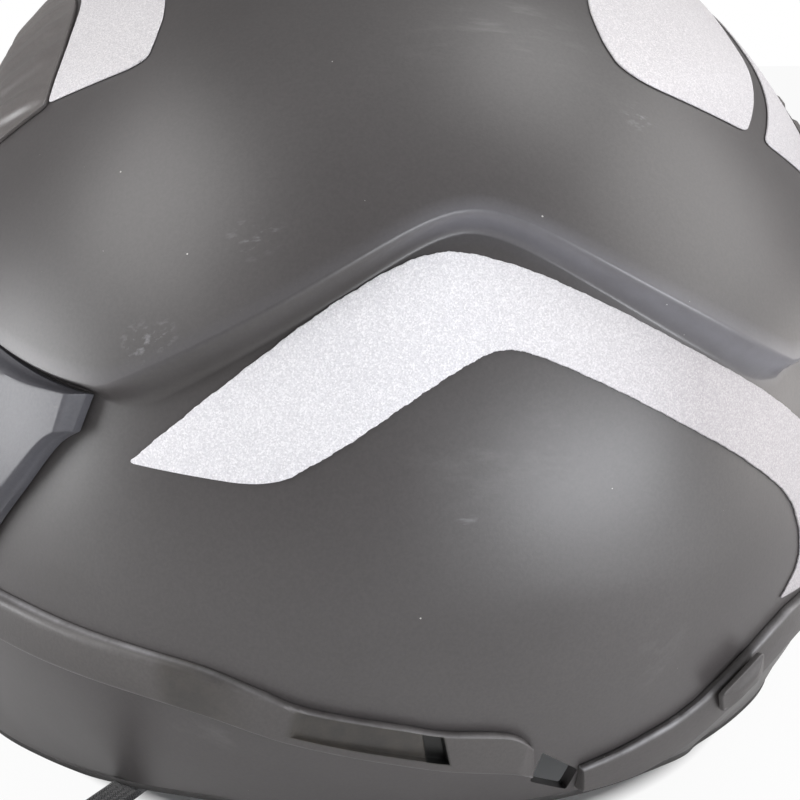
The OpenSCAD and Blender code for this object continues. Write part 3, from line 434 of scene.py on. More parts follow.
def rub_group():
    """One rubbed, whitish patch of short streaks round a place."""
    g, i, o = group("rubbed_place", [("Vector", "Vector", None), ("Place", "Vector", None),
                                     ("Size", "Float", 0.01), ("Amount", "Float", 0.5)], [("Mask", "Float")])
    away = put(g, "ShaderNodeVectorMath", {0: i["Vector"], 1: i["Place"]}, operation="DISTANCE")
    near = maths(g, "SUBTRACT", 1.0, maths(g, "DIVIDE", away.outputs["Value"], i["Size"]), clamp=True)
    turned = stretched(g, i["Vector"], (150, 900, 700), (0.4, 0.9, 0.3))
    streak = between(g, noise(g, turned, 1.0, 3.0, 0.6), 0.54, 0.72)
    g.links.new(maths(g, "MULTIPLY", maths(g, "MULTIPLY", near, streak), i["Amount"]), o["Mask"])
    return g


def edge_wear_and_highlight_group():
    """Paler outer edges, broken up by noise: partly wear, partly a painted highlight along the edges."""
    g, i, o = group("edge_wear_and_highlight", [("Vector", "Vector", None), ("Low", "Float", 0.515), ("High", "Float", 0.6)],
                    [("Mask", "Float")])
    edge = between(g, put(g, "ShaderNodeNewGeometry").outputs["Pointiness"], i["Low"], i["High"])
    broken = between(g, noise(g, i["Vector"], 180.0, 4.0, 0.6), 0.35, 0.65)
    g.links.new(maths(g, "MULTIPLY", edge, broken), o["Mask"])
    return g


def bead_group():
    """Glass beads in reflective sheet: fine painted glints, and small dents of the surface."""
    g, i, o = group("glass_beads", [("Vector", "Vector", None), ("Scale", "Float", 3400.0)],
                    [("Sparkle", "Float"), ("Grain", "Float"), ("Height", "Float")])
    cell = put(g, "ShaderNodeTexVoronoi", {"Vector": i["Vector"], "Scale": i["Scale"]})
    tint = put(g, "ShaderNodeSeparateColor", {"Color": cell.outputs["Color"]})
    g.links.new(between(g, tint.outputs["Green"], 0.5, 1.0), o["Sparkle"])
    g.links.new(noise(g, i["Vector"], 2600.0, 2.0, 0.7), o["Grain"])
    g.links.new(cell.outputs["Distance"], o["Height"])
    return g


def weave_group():
    """Webbing woven in herringbone along its UV map, which is in millimetres: u along it and v across."""
    g, i, o = group("webbing_weave", [("UV", "Vector", None), ("Rib", "Float", 0.9), ("Pick", "Float", 0.7)],
                    [("Height", "Float"), ("Shade", "Float")])
    uv = put(g, "ShaderNodeSeparateXYZ", {"Vector": i["UV"]})
    across = maths(g, "MULTIPLY", uv.outputs["Y"], maths(g, "DIVIDE", 1.0, i["Rib"]))
    zig = maths(g, "PINGPONG", across, 1.0)
    run = maths(g, "ADD", maths(g, "MULTIPLY", uv.outputs["X"], maths(g, "DIVIDE", 1.0, i["Pick"])), zig)
    pick = maths(g, "PINGPONG", run, 0.5)
    rib = maths(g, "PINGPONG", maths(g, "MULTIPLY", across, 2.0), 0.5)
    crest = maths(g, "ADD", maths(g, "MULTIPLY", rib, 0.8), 0.6)
    height = maths(g, "MULTIPLY", maths(g, "MULTIPLY", pick, 2.0), crest)
    g.links.new(height, o["Height"])
    g.links.new(between(g, height, 0.1, 0.9), o["Shade"])
    return g


MOTTLE, DUST, SCUFF, EDGE_WEAR_AND_HIGHLIGHT = mottle_group(), dust_group(), scuff_group(), edge_wear_and_highlight_group()
BEADS, WEAVE, RUB = bead_group(), weave_group(), rub_group()


def material(name):
    m = bpy.data.materials.new(name)
    m.use_nodes = True
    t = m.node_tree
    t.nodes.clear()
    out = put(t, "ShaderNodeOutputMaterial")
    shader = put(t, "ShaderNodeBsdfPrincipled")
    t.links.new(shader.outputs[0], out.inputs["Surface"])
    at = put(t, "ShaderNodeTexCoord").outputs["Object"]
    return m, t, shader, at


def bumped(tree, shader, height, distance):
    """Sends a height through a bump of this depth in millimetres to the shader."""
    n = put(tree, "ShaderNodeBump", {"Height": height, "Distance": distance * MM, "Strength": 1.0})
    tree.links.new(n.outputs["Normal"], shader.inputs["Normal"])


def moulded(name, dark, light, rough, grain, dust, scuff, wear_and_highlight, specular=0.5, worn_and_lit_colour=colour(150, 148, 148)):
    """Moulded plastic or paint: cloudy colour, fine grain, dust, rub marks and paler outer edges, which are
    partly wear and partly painted highlight.
    rough holds the roughness at both ends of the clouds, grain the bump's depth, and dust, scuff and pale-edge
    strengths."""
    m, t, shader, at = material(name)
    mottle = use(t, MOTTLE, at)
    base = blended(t, between(t, mottle["Cloud"], 0.3, 0.7), dark, light)
    base = toned(t, between(t, mottle["Grain"], 0.35, 0.65, 0.0, 0.5), base, (0.72, 0.72, 0.73))
    # Paler outer edges: partly wear, partly painted highlight.
    edge = maths(t, "MULTIPLY", use(t, EDGE_WEAR_AND_HIGHLIGHT, at)["Mask"], wear_and_highlight)
    rub = use(t, SCUFF, at, Amount=scuff)["Mask"]
    speck = use(t, DUST, at, Amount=dust)["Mask"]
    base = blended(t, edge, base, worn_and_lit_colour)
    base = blended(t, rub, base, colour(170, 168, 168))
    base = blended(t, speck, base, colour(215, 212, 208))
    t.links.new(base, shader.inputs["Base Color"])
    r = between(t, mottle["Cloud"], 0.3, 0.7, rough[0], rough[1])
    t.links.new(maths(t, "ADD", r, maths(t, "MULTIPLY", rub, 0.25), clamp=True), shader.inputs["Roughness"])
    shader.inputs["Specular IOR Level"].default_value = specular
    height = maths(t, "ADD", mottle["Grain"], maths(t, "MULTIPLY", mottle["Orange Peel"], 0.8))
    bumped(t, shader, height, grain)
    return m


paint = moulded("matt_shell_paint", colour(65, 62, 62), colour(73, 70, 70),
                (0.36, 0.42), 0.012, 0.7, 0.2, 0.0, specular=0.62)
trim_plastic = moulded("dark_trim", colour(66, 63, 63), colour(84, 81, 80),
                       (0.42, 0.58), 0.04, 0.5, 0.5, 0.45)
cover_plastic = moulded("cover_plastic", colour(80, 80, 85), colour(90, 90, 95),
                        (0.36, 0.46), 0.02, 0.3, 0.3, 0.3)
gloss_plastic = moulded("gloss_ribbed", colour(92, 88, 87), colour(106, 102, 100),
                        (0.3, 0.42), 0.02, 0.4, 0.5, 0.2)
hard_black = moulded("black_fittings", colour(30, 30, 31), colour(42, 42, 43),
                     (0.4, 0.55), 0.03, 0.3, 0.3, 0.5)
harness_plastic = moulded("harness_plastic", colour(46, 46, 48), colour(58, 58, 60),
                          (0.45, 0.6), 0.05, 0.25, 0.3, 0.4)
rubber = moulded("rim_rubber", colour(26, 25, 25), colour(40, 38, 37),
                 (0.6, 0.8), 0.05, 0.6, 0.4, 0.3)
red_plastic = moulded("button_plastic", colour(176, 34, 24), colour(196, 44, 32),
                      (0.25, 0.4), 0.02, 0.2, 0.2, 0.2, worn_and_lit_colour=colour(225, 120, 110))


# Rubbed places on the shell: azimuth, level, reach in millimetres and strength
rub_places = ((26.2, 50, 5, 0.4), (24.2, 52, 4, 0.4), (17.5, 70, 6, 0.25), (15.6, 70.4, 4, 0.25),
              (-20.8, 90, 5, 0.3), (-0.2, 19, 2.5, 0.4))


def reopened(m):
    """A finished material's nodes, shader, base colour and place, and a way to read marks kept on the mesh."""
    t = m.node_tree
    shader = next(n for n in t.nodes if n.type == "BSDF_PRINCIPLED")
    at = put(t, "ShaderNodeTexCoord").outputs["Object"]

    def mark(name):
        return put(t, "ShaderNodeAttribute", attribute_name=name).outputs["Fac"]

    return t, shader, shader.inputs["Base Color"].links[0].from_socket, at, mark


def mark_step(m):
    """Painted highlights on the step's crest and on its face on the wearer's right, painted shade down in its
    foot, and a few rubbed places.
    """
    t, shader, base, at, mark = reopened(m)
    broken = between(t, noise(t, at, 90.0, 4.0, 0.6), 0.3, 0.7, 0.65, 1.0)
    # Painted light: a pale painted highlight on the step's crest, a pale bluish painted highlight on its face,
    # and dark painted shade in its foot.
    for name, share, look in (("step_crest", 0.22, colour(122, 122, 129)),
                              ("step_face", 0.6, colour(130, 130, 138)),
                              ("step_foot", 0.65, colour(40, 36, 34))):
        base = blended(t, maths(t, "MULTIPLY", maths(t, "MULTIPLY", mark(name), broken), share), base, look)
    for azimuth, level, size, amount in rub_places:
        place = tuple(float(c) for c in surf(np.array([azimuth]), np.array([level]))[0] * MM)
        rub = use(t, RUB, at, Place=place, Size=size * MM, Amount=amount)["Mask"]
        base = blended(t, rub, base, colour(170, 170, 175))
    t.links.new(base, shader.inputs["Base Color"])


def mark_band(m):
    """Painted highlights along the nape bands' lips, and painted shade in the left band's slot and where that
    band bends.
    """
    t, shader, base, at, mark = reopened(m)
    broken = between(t, noise(t, at, 120.0, 4.0, 0.65), 0.35, 0.62, 0.35, 1.0)
    lip, slot = maths(t, "MULTIPLY", mark("lip_light"), broken), mark("slot_shade")
    # Painted highlight along the lips, broken up by noise.
    base = blended(t, maths(t, "MULTIPLY", lip, 0.75), base, colour(160, 159, 162))
    # Painted shade: dark brownish olive where the band bends and on the slot's ramp, near-black down in the
    # slot's deep end.
    slot_shade_tone = blended(t, between(t, noise(t, at, 260.0, 3.0), 0.35, 0.65), colour(30, 28, 23), colour(52, 48, 40))
    base = blended(t, slot, base, blended(t, between(t, slot, 0.7, 0.95), slot_shade_tone, colour(8, 8, 7)))
    t.links.new(base, shader.inputs["Base Color"])


mark_step(paint)
band_plastic = moulded("band_plastic", colour(66, 63, 63), colour(80, 77, 76), (0.4, 0.5), 0.03, 0.5, 0.3, 0.6)
mark_band(band_plastic)


def steel_material():
    m, t, shader, at = material("brushed_steel")
    fine = noise(t, stretched(t, at, (300, 300, 3000)), 1.0, 3.0)
    t.links.new(blended(t, between(t, fine, 0.3, 0.7), colour(150, 150, 152), colour(190, 190, 192)),
                shader.inputs["Base Color"])
    t.links.new(between(t, fine, 0.3, 0.7, 0.22, 0.4), shader.inputs["Roughness"])
    shader.inputs["Metallic"].default_value = 1.0
    bumped(t, shader, fine, 0.01)
    return m


def sheet_material():
    """Glass-bead sheet, a little greyer high on the crown, and darker and warmer low on the wearer's right."""
    m, t, shader, at = material("reflective_sheet")
    beads = use(t, BEADS, at)
    cloud = use(t, MOTTLE, at, Cloud_Scale=30.0)["Cloud"]
    base = blended(t, between(t, cloud, 0.3, 0.7), colour(216, 215, 219), colour(225, 224, 227))
    base = blended(t, between(t, beads["Grain"], 0.35, 0.65, 0.0, 0.75), base, colour(194, 193, 197))
    # Painted glints of the glass beads, as near-white specks.
    base = blended(t, maths(t, "MULTIPLY", beads["Sparkle"], 0.55), base, colour(246, 245, 247))
    base = blended(t, use(t, SCUFF, at, Amount=0.12)["Mask"], base, colour(160, 158, 160))
    place = put(t, "ShaderNodeSeparateXYZ", {"Vector": at}).outputs
    base = toned(t, between(t, place["Z"], 0.14, 0.17), base, (0.885, 0.87, 0.86))
    # Darker and warmer low on the wearer's right.
    right, low = between(t, place["X"], 0.0, -0.05), between(t, place["Z"], 0.165, 0.135, 0.25, 1.0)
    base = toned(t, maths(t, "MULTIPLY", right, low), base, (0.56, 0.54, 0.535))
    t.links.new(base, shader.inputs["Base Color"])
    t.links.new(between(t, beads["Grain"], 0.3, 0.7, 0.42, 0.6), shader.inputs["Roughness"])
    shader.inputs["Metallic"].default_value = 0.1
    shader.inputs["Specular IOR Level"].default_value = 0.3
    bumped(t, shader, maths(t, "ADD", beads["Height"], beads["Grain"]), 0.05)
    return m


def webbing_material():
    m, t, shader, at = material("black_webbing")
    weave = use(t, WEAVE, put(t, "ShaderNodeUVMap", uv_map="UVMap").outputs["UV"])
    base = blended(t, weave["Shade"], colour(20, 20, 21), colour(56, 55, 56))
    base = blended(t, use(t, DUST, at, Scale=400.0, Amount=0.6)["Mask"], base, colour(150, 145, 138))
    t.links.new(base, shader.inputs["Base Color"])
    t.links.new(between(t, weave["Shade"], 0.0, 1.0, 0.85, 0.6), shader.inputs["Roughness"])
    shader.inputs["Sheen Weight"].default_value = 0.3
    bumped(t, shader, weave["Height"], 0.25)
    return m


def pad_material():
    """Knitted pad fabric with a soft nap."""
    m, t, shader, at = material("pad_fabric")
    knit = put(t, "ShaderNodeTexVoronoi", {"Vector": stretched(t, at, (1, 0.7, 1)), "Scale": 900.0})
    cloud = noise(t, at, 60.0, 3.0)
    base = blended(t, between(t, knit.outputs["Distance"], 0.1, 0.7), colour(58, 58, 62), colour(30, 30, 33))
    base = blended(t, between(t, cloud, 0.35, 0.7, 0.0, 0.35), base, colour(74, 73, 76))
    t.links.new(base, shader.inputs["Base Color"])
    t.links.new(between(t, cloud, 0.3, 0.7, 0.8, 0.95), shader.inputs["Roughness"])
    shader.inputs["Sheen Weight"].default_value = 0.5
    bumped(t, shader, maths(t, "MULTIPLY", knit.outputs["Distance"], -1.0), 0.25)
    return m


def foam_material():
    """Pressed bead foam: rounded cells a few millimetres across with dark joints."""
    m, t, shader, at = material("liner_foam")
    cells = {"Vector": at, "Scale": 300.0, "Randomness": 0.8}
    cell = put(t, "ShaderNodeTexVoronoi", cells, feature="DISTANCE_TO_EDGE")
    tint = put(t, "ShaderNodeTexVoronoi", cells)
    shade = put(t, "ShaderNodeSeparateColor", {"Color": tint.outputs["Color"]}).outputs["Red"]
    base = blended(t, shade, colour(50, 50, 52), colour(66, 66, 68))
    base = blended(t, between(t, cell.outputs["Distance"], 0.0, 0.08), colour(30, 30, 31), base)
    t.links.new(base, shader.inputs["Base Color"])
    t.links.new(between(t, shade, 0.0, 1.0, 0.7, 0.9), shader.inputs["Roughness"])
    bumped(t, shader, maths(t, "POWER", cell.outputs["Distance"], 0.5), 0.3)
    return m


def visor_material():
    """Lightly smoked clear plastic with fine hairline marks."""
    m, t, shader, at = material("visor_plastic")
    marks = between(t, noise(t, stretched(t, at, (500, 60, 60), (0, 0.6, 0.4)), 1.0, 4.0), 0.6, 0.75)
    t.links.new(blended(t, marks, colour(186, 192, 196), colour(212, 215, 217)), shader.inputs["Base Color"])
    t.links.new(between(t, marks, 0.0, 1.0, 0.03, 0.16), shader.inputs["Roughness"])
    shader.inputs["Transmission Weight"].default_value = 0.94
    shader.inputs["IOR"].default_value = 1.49
    return m


steel, sheet_finish, webbing = steel_material(), sheet_material(), webbing_material()
pad_fabric, foam, visor = pad_material(), foam_material(), visor_material()


# Camera
def make_camera():
    """The photograph's place, given by its direction and distance and by what it shifts across and up."""
    turn_in, rise, roll = math.radians(7.681), math.radians(13.527), math.radians(-0.1195)
    away, across, up = 431.02, 6.582, 8.092
    pixels_per_mm, picture, sensor = 3.6324, 800, 36
    d = np.array([math.sin(turn_in) * math.cos(rise), math.cos(turn_in) * math.cos(rise), math.sin(rise)])
    r0 = np.array([-math.cos(turn_in), math.sin(turn_in), 0])
    u0 = np.array([-math.sin(turn_in) * math.sin(rise), -math.cos(turn_in) * math.sin(rise), math.cos(rise)])
    right = r0 * math.cos(roll) + u0 * math.sin(roll)
    top = -r0 * math.sin(roll) + u0 * math.cos(roll)
    eye = across * right + up * top + away * d + np.array([0, 0, widest_z])
    bpy.ops.object.camera_add(location=tuple(eye * MM))
    camera = bpy.context.object
    camera.rotation_mode = "QUATERNION"
    camera.rotation_quaternion = Matrix(((right[0], top[0], d[0]), (right[1], top[1], d[1]),
                                         (right[2], top[2], d[2]))).to_quaternion()
    camera.data.sensor_width = sensor
    camera.data.lens = pixels_per_mm * away * sensor / picture
    camera.data.clip_start, camera.data.clip_end = 0.01, 100
    bpy.context.scene.camera = camera


make_camera()


# Shell
def shell_pieces():
    """The shell, with its rows of points gathered on the step, and the values that its paint reads."""
    foot_at, crest_at = 0.42, 0.56
    rows = np.concatenate([np.linspace(0, foot_at, 60), np.linspace(foot_at, crest_at, 26)[1:],
                           np.linspace(crest_at, 1, 46)[1:]])

    def level(a, t):
        edge = edge_z(a)
        crest = np.maximum(step_z(a), edge + 16)
        foot = crest - step_run(a)
        flank = mixed(edge, foot, t / foot_at)
        step = mixed(foot, crest, (t - foot_at) / (crest_at - foot_at))
        top = np.sin(np.clip((t - crest_at) / (1 - crest_at), 0, 1) * math.pi / 2)
        return np.where(t < foot_at, flank, np.where(t < crest_at, step, crest + (dome_h - crest) * top))

    path = np.concatenate([rows[::-1], rows[::2]])
    deep = np.concatenate([np.zeros(len(rows)), np.ones(len(rows[::2]))])

    def place(u, v, w):
        a = u * 360
        k = v * (len(path) - 1)
        t, n = np.interp(k, np.arange(len(path)), path), np.interp(k, np.arange(len(path)), deep)
        return surf(a, level(a, t), -shell_wall * n)

    o = ring_piece("helmet_shell", 300, len(path) - 1, place)
    cutter = notch_cutter()
    modified(o, "BOOLEAN", operation="DIFFERENCE", solver="EXACT", object=cutter)
    bpy.data.objects.remove(cutter)
    shaded(o, 50)
    p = read_points(o) / MM
    a, z = np.degrees(np.arctan2(p[:, 0], p[:, 1])), p[:, 2] - widest_z
    k = (step_z(a) - z) / step_run(a)
    left = smooth((a + 4) / 14)
    # Marks for the paint: a painted highlight on the step's crest, painted shade in its foot on the left, and a
    # painted highlight on its face on the right.
    for name, middle, half, share in (("step_crest", -0.1, 0.2, 1),
                                      ("step_foot", 0.75, 0.5, left * (1 - smooth((a - 22) / 8))),
                                      ("step_face", 0.45, 0.45, 1 - left)):
        keep_mark(o, name, np.exp(-((k - middle) / half) ** 2) * step_fade(a) * share)
    finished(o, paint, nodes="outer_shell", slot="shell")


def notch_cutter():
    """A slanted block for the window between the nape bands, given by its levels at both sides."""
    bpy.ops.mesh.primitive_cube_add(size=1)
    o = bpy.context.object
    co = read_points(o)
    azimuth, deep = -10.9, 60
    top = np.where(co[:, 0] > 0, -36.5, -44.5)
    foot = np.where(co[:, 0] > 0, -46.0, -51.8)
    x, y = co[:, 0] * notch_w, co[:, 1] * deep + rear_len - deep / 2
    z = np.where(co[:, 2] > 0, top, foot) + widest_z
    set_points(o, points(x * cos(azimuth) + y * sin(azimuth), y * cos(azimuth) - x * sin(azimuth), z) * MM)
    active(o)
    bpy.ops.object.mode_set(mode="EDIT")
    bpy.ops.mesh.select_all(action="SELECT")
    bpy.ops.mesh.bevel(offset=0.7 * MM, segments=3)
    bpy.ops.object.mode_set(mode="OBJECT")
    return o


shell_pieces()


def rim_bead():
    """The rubber bead under the shell's edge. Its profile runs outward and down from the edge's middle."""
    gap, r, step = 0.05, 0.75, 0.4
    w, h = bead_w / 2, bead_h - gap
    arc = [(w - r + r * math.cos(k), h - r + r * math.sin(k)) for k in np.linspace(0, math.pi / 2, 6)]
    profile = np.array([(w, 0), (w, h * 0.3)] + arc + [(0, h)] + [(-x, y) for x, y in arc[::-1]]
                       + [(-w, h * 0.3), (-w, 0), (0, 0), (w, 0)])

    def place(u, v, _):
        a = u * 360
        edge = surf(a, edge_z(a), -shell_wall / 2 + 0 * a)
        run = unit(surf(a + step, edge_z(a + step)) - surf(a - step, edge_z(a - step)))
        out = shell_normal(edge - [0, 0, widest_z])
        down = unit(np.cross(out, run))
        down = np.where(down[:, 2:3] > 0, -down, down)
        k = v * (len(profile) - 1)
        x, y = (np.interp(k, np.arange(len(profile)), profile[:, i]) for i in (0, 1))
        return edge + out * x[:, None] + down * (y + gap)[:, None]

    o = ring_piece("rim_seal_bead", 420, len(profile) - 1, place)
    shaded(o, 50)
    finished(o, rubber, nodes="rim_seal", slot="seal")


rim_bead()


# Nape bands and clip
left_band_low = [[-8.2, -43.8], [-5.6, -40.5], [0.4, -37.8], [4.8, -35.2], [13.8, -29.8], [17, -27.4],
                 [21, -24.4], [26.6, -21.9], [33.6, -20.4], [42.4, -19.3], [49.6, -18.5]]
left_band_up = [[-7.2, -34], [-4.6, -29.2], [1.4, -27.2], [5, -25], [12.8, -21], [16.6, -17.2],
                [21.2, -13.2], [26.6, -11.2], [33.2, -9.6], [40.2, -8], [45.6, -7.4]]
right_band_low = [[14.4, -51.4], [20.2, -51], [23.5, -48.6], [26.3, -45], [28.6, -40.5], [30.5, -35.5],
                  [34, -28], [37, -24], [40, -22.5], [50, -20.5]]
right_band_up = [[13.2, -43], [17.2, -39.8], [20.2, -36.8], [22.6, -34.4], [24.8, -31.2], [26.6, -27.4],
                 [30.4, -20.6], [33.4, -16.4], [37, -14], [50, -12]]
slot_from, slot_to, slot_ramp, slot_low, slot_high = 0.2, 0.405, 0.25, 0.28, 0.93


def band_out(v, far=0.0):
    """Height of a band's face, which falls toward its upper edge and turns over a soft lip at both edges.
    far is the share by which the upper edge comes down to the shell."""
    lip = (1 - 0.5 * np.clip((0.07 - v) / 0.07, 0, 1) ** 2
           - (0.35 + 0.55 * far) * np.clip((v - 0.93 + 0.1 * far) / (0.07 + 0.1 * far), 0, 1) ** 2)
    return band_t * mixed(1, 0.55, v * v) * lip


def far_share(u):
    """Share by which the left band's upper edge has come down to the shell, toward its outer end."""
    return smooth((u - 0.42) / 0.2)


def near(v, middle, half):
    return np.exp(-((v - middle) / half) ** 2)


def left_band(vs):
    """The left band with its slot, where rows of points stand close together at both ends and at the ramp."""
    pairs = ((slot_from, 0.002, 0.003), (slot_ramp, 0.0025, 0.0025), (slot_to, 0.003, 0.002))
    close = [k for at, before, after in pairs for k in (at - before, at + after)]
    us = sorted([k for k in np.linspace(0, 1, 130) if min(abs(k - c) for c in close) > 0.004] + close)
    slot_floor, thin_end = 1.2, 1.4

    def in_slot(u, v, du=0.0, dv=0.0):
        return (u > slot_from - du) & (u < slot_to + du) & (v > slot_low - dv) & (v < slot_high + dv)

    def over(a, z, u, v):
        share = np.where(u < slot_ramp, 1, 0.75 - 0.45 * (u - slot_ramp) / (slot_to - slot_ramp))
        rise = np.minimum(mixed(thin_end, band_t, smooth(u / 0.1)), band_out(v, far_share(u)))
        return rise - np.where(in_slot(u, v), (band_t - slot_floor) * share * band_out(v) / band_t, 0)

    # Painted shade: full in the slot's deep end, less on its ramp, and a soft band of it where the band bends.
    def slot_shade(u, v):
        bend = 0.5 * smooth((0.69 - u) / 0.04) * smooth((u - 0.48) / 0.14)
        return np.where(in_slot(u, v, 0.004, 0.02), np.where(u < slot_ramp, 1.0, 0.62), bend)

    # Painted highlight along the upper and lower lips.
    def lip_light(u, v):
        high = near(v, 0.965, 0.025) * mixed(0.3, 1, far_share(u))
        return np.maximum(high, near(v, 0.03, 0.03) * mixed(0.4, 1, far_share(u)))

    o = applied("nape_band_left_moulding", left_band_low, left_band_up, 0, 0, flat(seat), over, us=us, vs=vs,
                marks={"slot_shade": slot_shade, "lip_light": lip_light})
    rounded(o, 0.3, 46, 2)
    finished(o, band_plastic, nodes="nape_band_left", slot="trim")


def right_band(vs):
    # Painted highlight along the upper lip.
    def lip_light(u, v):
        return near(v, 0.955, 0.04) * mixed(1, 0.5, u)

    o = applied("nape_band_right_moulding", right_band_low, right_band_up, 110, 0, flat(seat),
                lambda a, z, u, v: band_out(v) + 0 * u, -1, vs=vs, marks={"lip_light": lip_light})
    rounded(o, 0.4, 46, 2)
    finished(o, band_plastic, nodes="nape_band_right", slot="trim")


def band_clip():
    low, up = [[27.6, -35.5], [29.2, -31.5], [31.2, -27.5]], [[25.4, -28.5], [27.4, -24], [29.4, -20]]
    o = applied("band_clip_moulding", low, up, 24, 24, flat(band_t + 0.15),
                lambda a, z, u, v: band_t + 1.5 + 1.6 * smooth(rim_share(u, v, 0.4, 0.4)), -1, corner=2)
    rounded(o, 0.4, 42, 3)
    finished(o, band_plastic, nodes="band_clip", slot="trim")


band_rows = [0, 0.02, 0.045, 0.07, 0.11, 0.16, 0.22, slot_low - 0.008, slot_low + 0.008, 0.34, 0.42, 0.5,
             0.58, 0.66, 0.74, 0.82, 0.88, slot_high - 0.008, slot_high + 0.008, 0.96, 0.98, 1]
left_band(band_rows)
right_band(band_rows)
band_clip()

# Reflective sheet
chevron_low = [[-33.5, -11.5], [-35.8, -3], [-33.5, 10.5], [-27, 22], [-20, 31.6], [-13, 40.6], [-7, 47.2],
               [-3.6, 48.9], [-0.4, 46.2], [4, 40.2], [9.6, 31.6], [15, 24.2]]
chevron_up = [[-44, -12.2], [-48, -3.6], [-45.6, 10.2], [-39, 22], [-31, 34], [-22, 45.4], [-13, 56.4],
              [-5, 64.2], [2, 66.3], [10, 58], [19, 42.8], [27.5, 26.5]]
left_panel_low = [[46.4, 92.4], [50, 104.3], [56, 112.8], [66, 116.2], [80, 117.6], [96, 117.2], [108, 114]]
left_panel_up = [[33.2, 101], [34.6, 111], [40, 118], [54, 124], [74, 127], [96, 127], [112, 122]]
right_panel_low = [[36.8, 86], [43.8, 92.2], [50, 98.6], [54, 106], [61, 112.5], [74, 116.5], [94, 117.5],
                   [108, 114]]
right_panel_up = [[21.2, 98.2], [20.5, 106], [22.5, 114], [30, 121], [46, 126.5], [70, 129], [95, 128.5],
                  [112, 122.5]]
side_panel_low = [[50, 73.4], [58, 79], [64, 86], [69, 93.5], [76, 99.5], [86, 103.5], [98, 105], [109, 102]]
side_panel_up = [[39.8, 83.6], [49, 91.8], [55.5, 98.6], [60, 104.8], [67, 110], [80, 113], [97, 113.6],
                 [109, 110.6]]


def sheet_piece(name, low, up, nu, nv, node, side, corner, ragged=0.05):
    o = applied(name, low, up, nu, nv, flat(seat), flat(sheet_face), side, corner, ragged=ragged)
    rounded(o, 0.15, 42, 1)
    finished(o, sheet_finish, nodes=node, slot="reflective")


sheet_piece("rear_chevron_sheet", chevron_low, chevron_up, 300, 44, "rear_chevron", 1, (6.5, 1.4, 1.4), 0.25)
sheet_piece("crown_sheet_left", left_panel_low, left_panel_up, 140, 40, "crown_panel_left", 1, (4, 5, 1.2))
sheet_piece("crown_sheet_right", right_panel_low, right_panel_up, 140, 40, "crown_panel_right", -1, (4, 9, 3))
sheet_piece("side_sheet_right", side_panel_low, side_panel_up, 120, 22, "side_panel_right", -1, 3)


def rib_plates():
    """Plates with slanted ribs, outside the crown panels."""
    ribs, slant, plate_t, rib_h = 8, 0.7, 0.9, 1.0

    def over(a, z, u, v):
        f = u * ribs + v * slant
        g = np.abs(2 * (f - np.floor(f)) - 1)
        return plate_t + rib_h * smooth((g - 0.2) / 0.55) * smooth(rim_share(u, v, 0.06, 0.3))

    left = ([[54.4, 82.6], [61, 87.2], [68, 93.5], [75, 98.5], [85, 102.5], [97, 104], [109, 101]],
            [[46.6, 91.8], [50.4, 103.8], [56.6, 111.9], [66.4, 115.4], [80.3, 116.8], [96, 116.4], [107, 113]])
    right = ([[58, 68.5], [66, 74], [73, 81], [80, 88], [89, 93], [100, 94.5], [110, 92]],
             [[52.4, 72], [60, 77.6], [66.4, 85.4], [72, 92.8], [80, 98.4], [94, 102.2], [109, 99.6]])
    for name, (low, up), side in (("left", left, 1), ("right", right, -1)):
        o = applied("ribbed_plate_" + name, low, up, 240, 26, flat(seat), over, side, 2)
        rounded(o, 0.35, 42, 2)
        finished(o, gloss_plastic, nodes="rib_plate_" + name, slot="gloss_trim")


rib_plates()


def badge():
    """The blank plate over the brow, raised in its middle."""
    o = applied("brow_badge", [[167, 66], [173, 63.5], [180, 62.6], [187, 63.5], [193, 66]],
                [[169, 92], [173, 97], [180, 100], [187, 97], [191, 92]], 60, 60, flat(seat),
                lambda a, z, u, v: glue + 2.2 * smooth(rim_share(u, v, 0.12, 0.12) * 0.7 + 0.3), corner=5)
    rounded(o, 0.5, 42, 3)
    finished(o, trim_plastic, nodes="badge_plate", slot="trim")


badge()

# Side covers
cover_seat, cover_seam, cover_nose, cover_chin = glue + 0.1, 3.3, 118.0, 113.4
boss_d, boss_in, boss_out = cap_d + 3, 0.9, 4.4
cover_drop = [[0.015, 31], [0.044, 27.5], [0.09, 17.8], [0.141, 7.8], [0.215, -7], [0.3, -22],
              [0.4, -34], [0.54, -41], [0.74, -42], [0.91, -38], [1, -26]]


def cover_over(a, z, u, v):
    """The cover's face fills the step and turns down toward its border."""
    rise = cover_seat - glue + drop(a, z) + cover_t * (1 - step_fade(a))
    return glue + rise * mixed(0.4, 1, smooth(rim_share(u, v, 0.05, 0.09)))


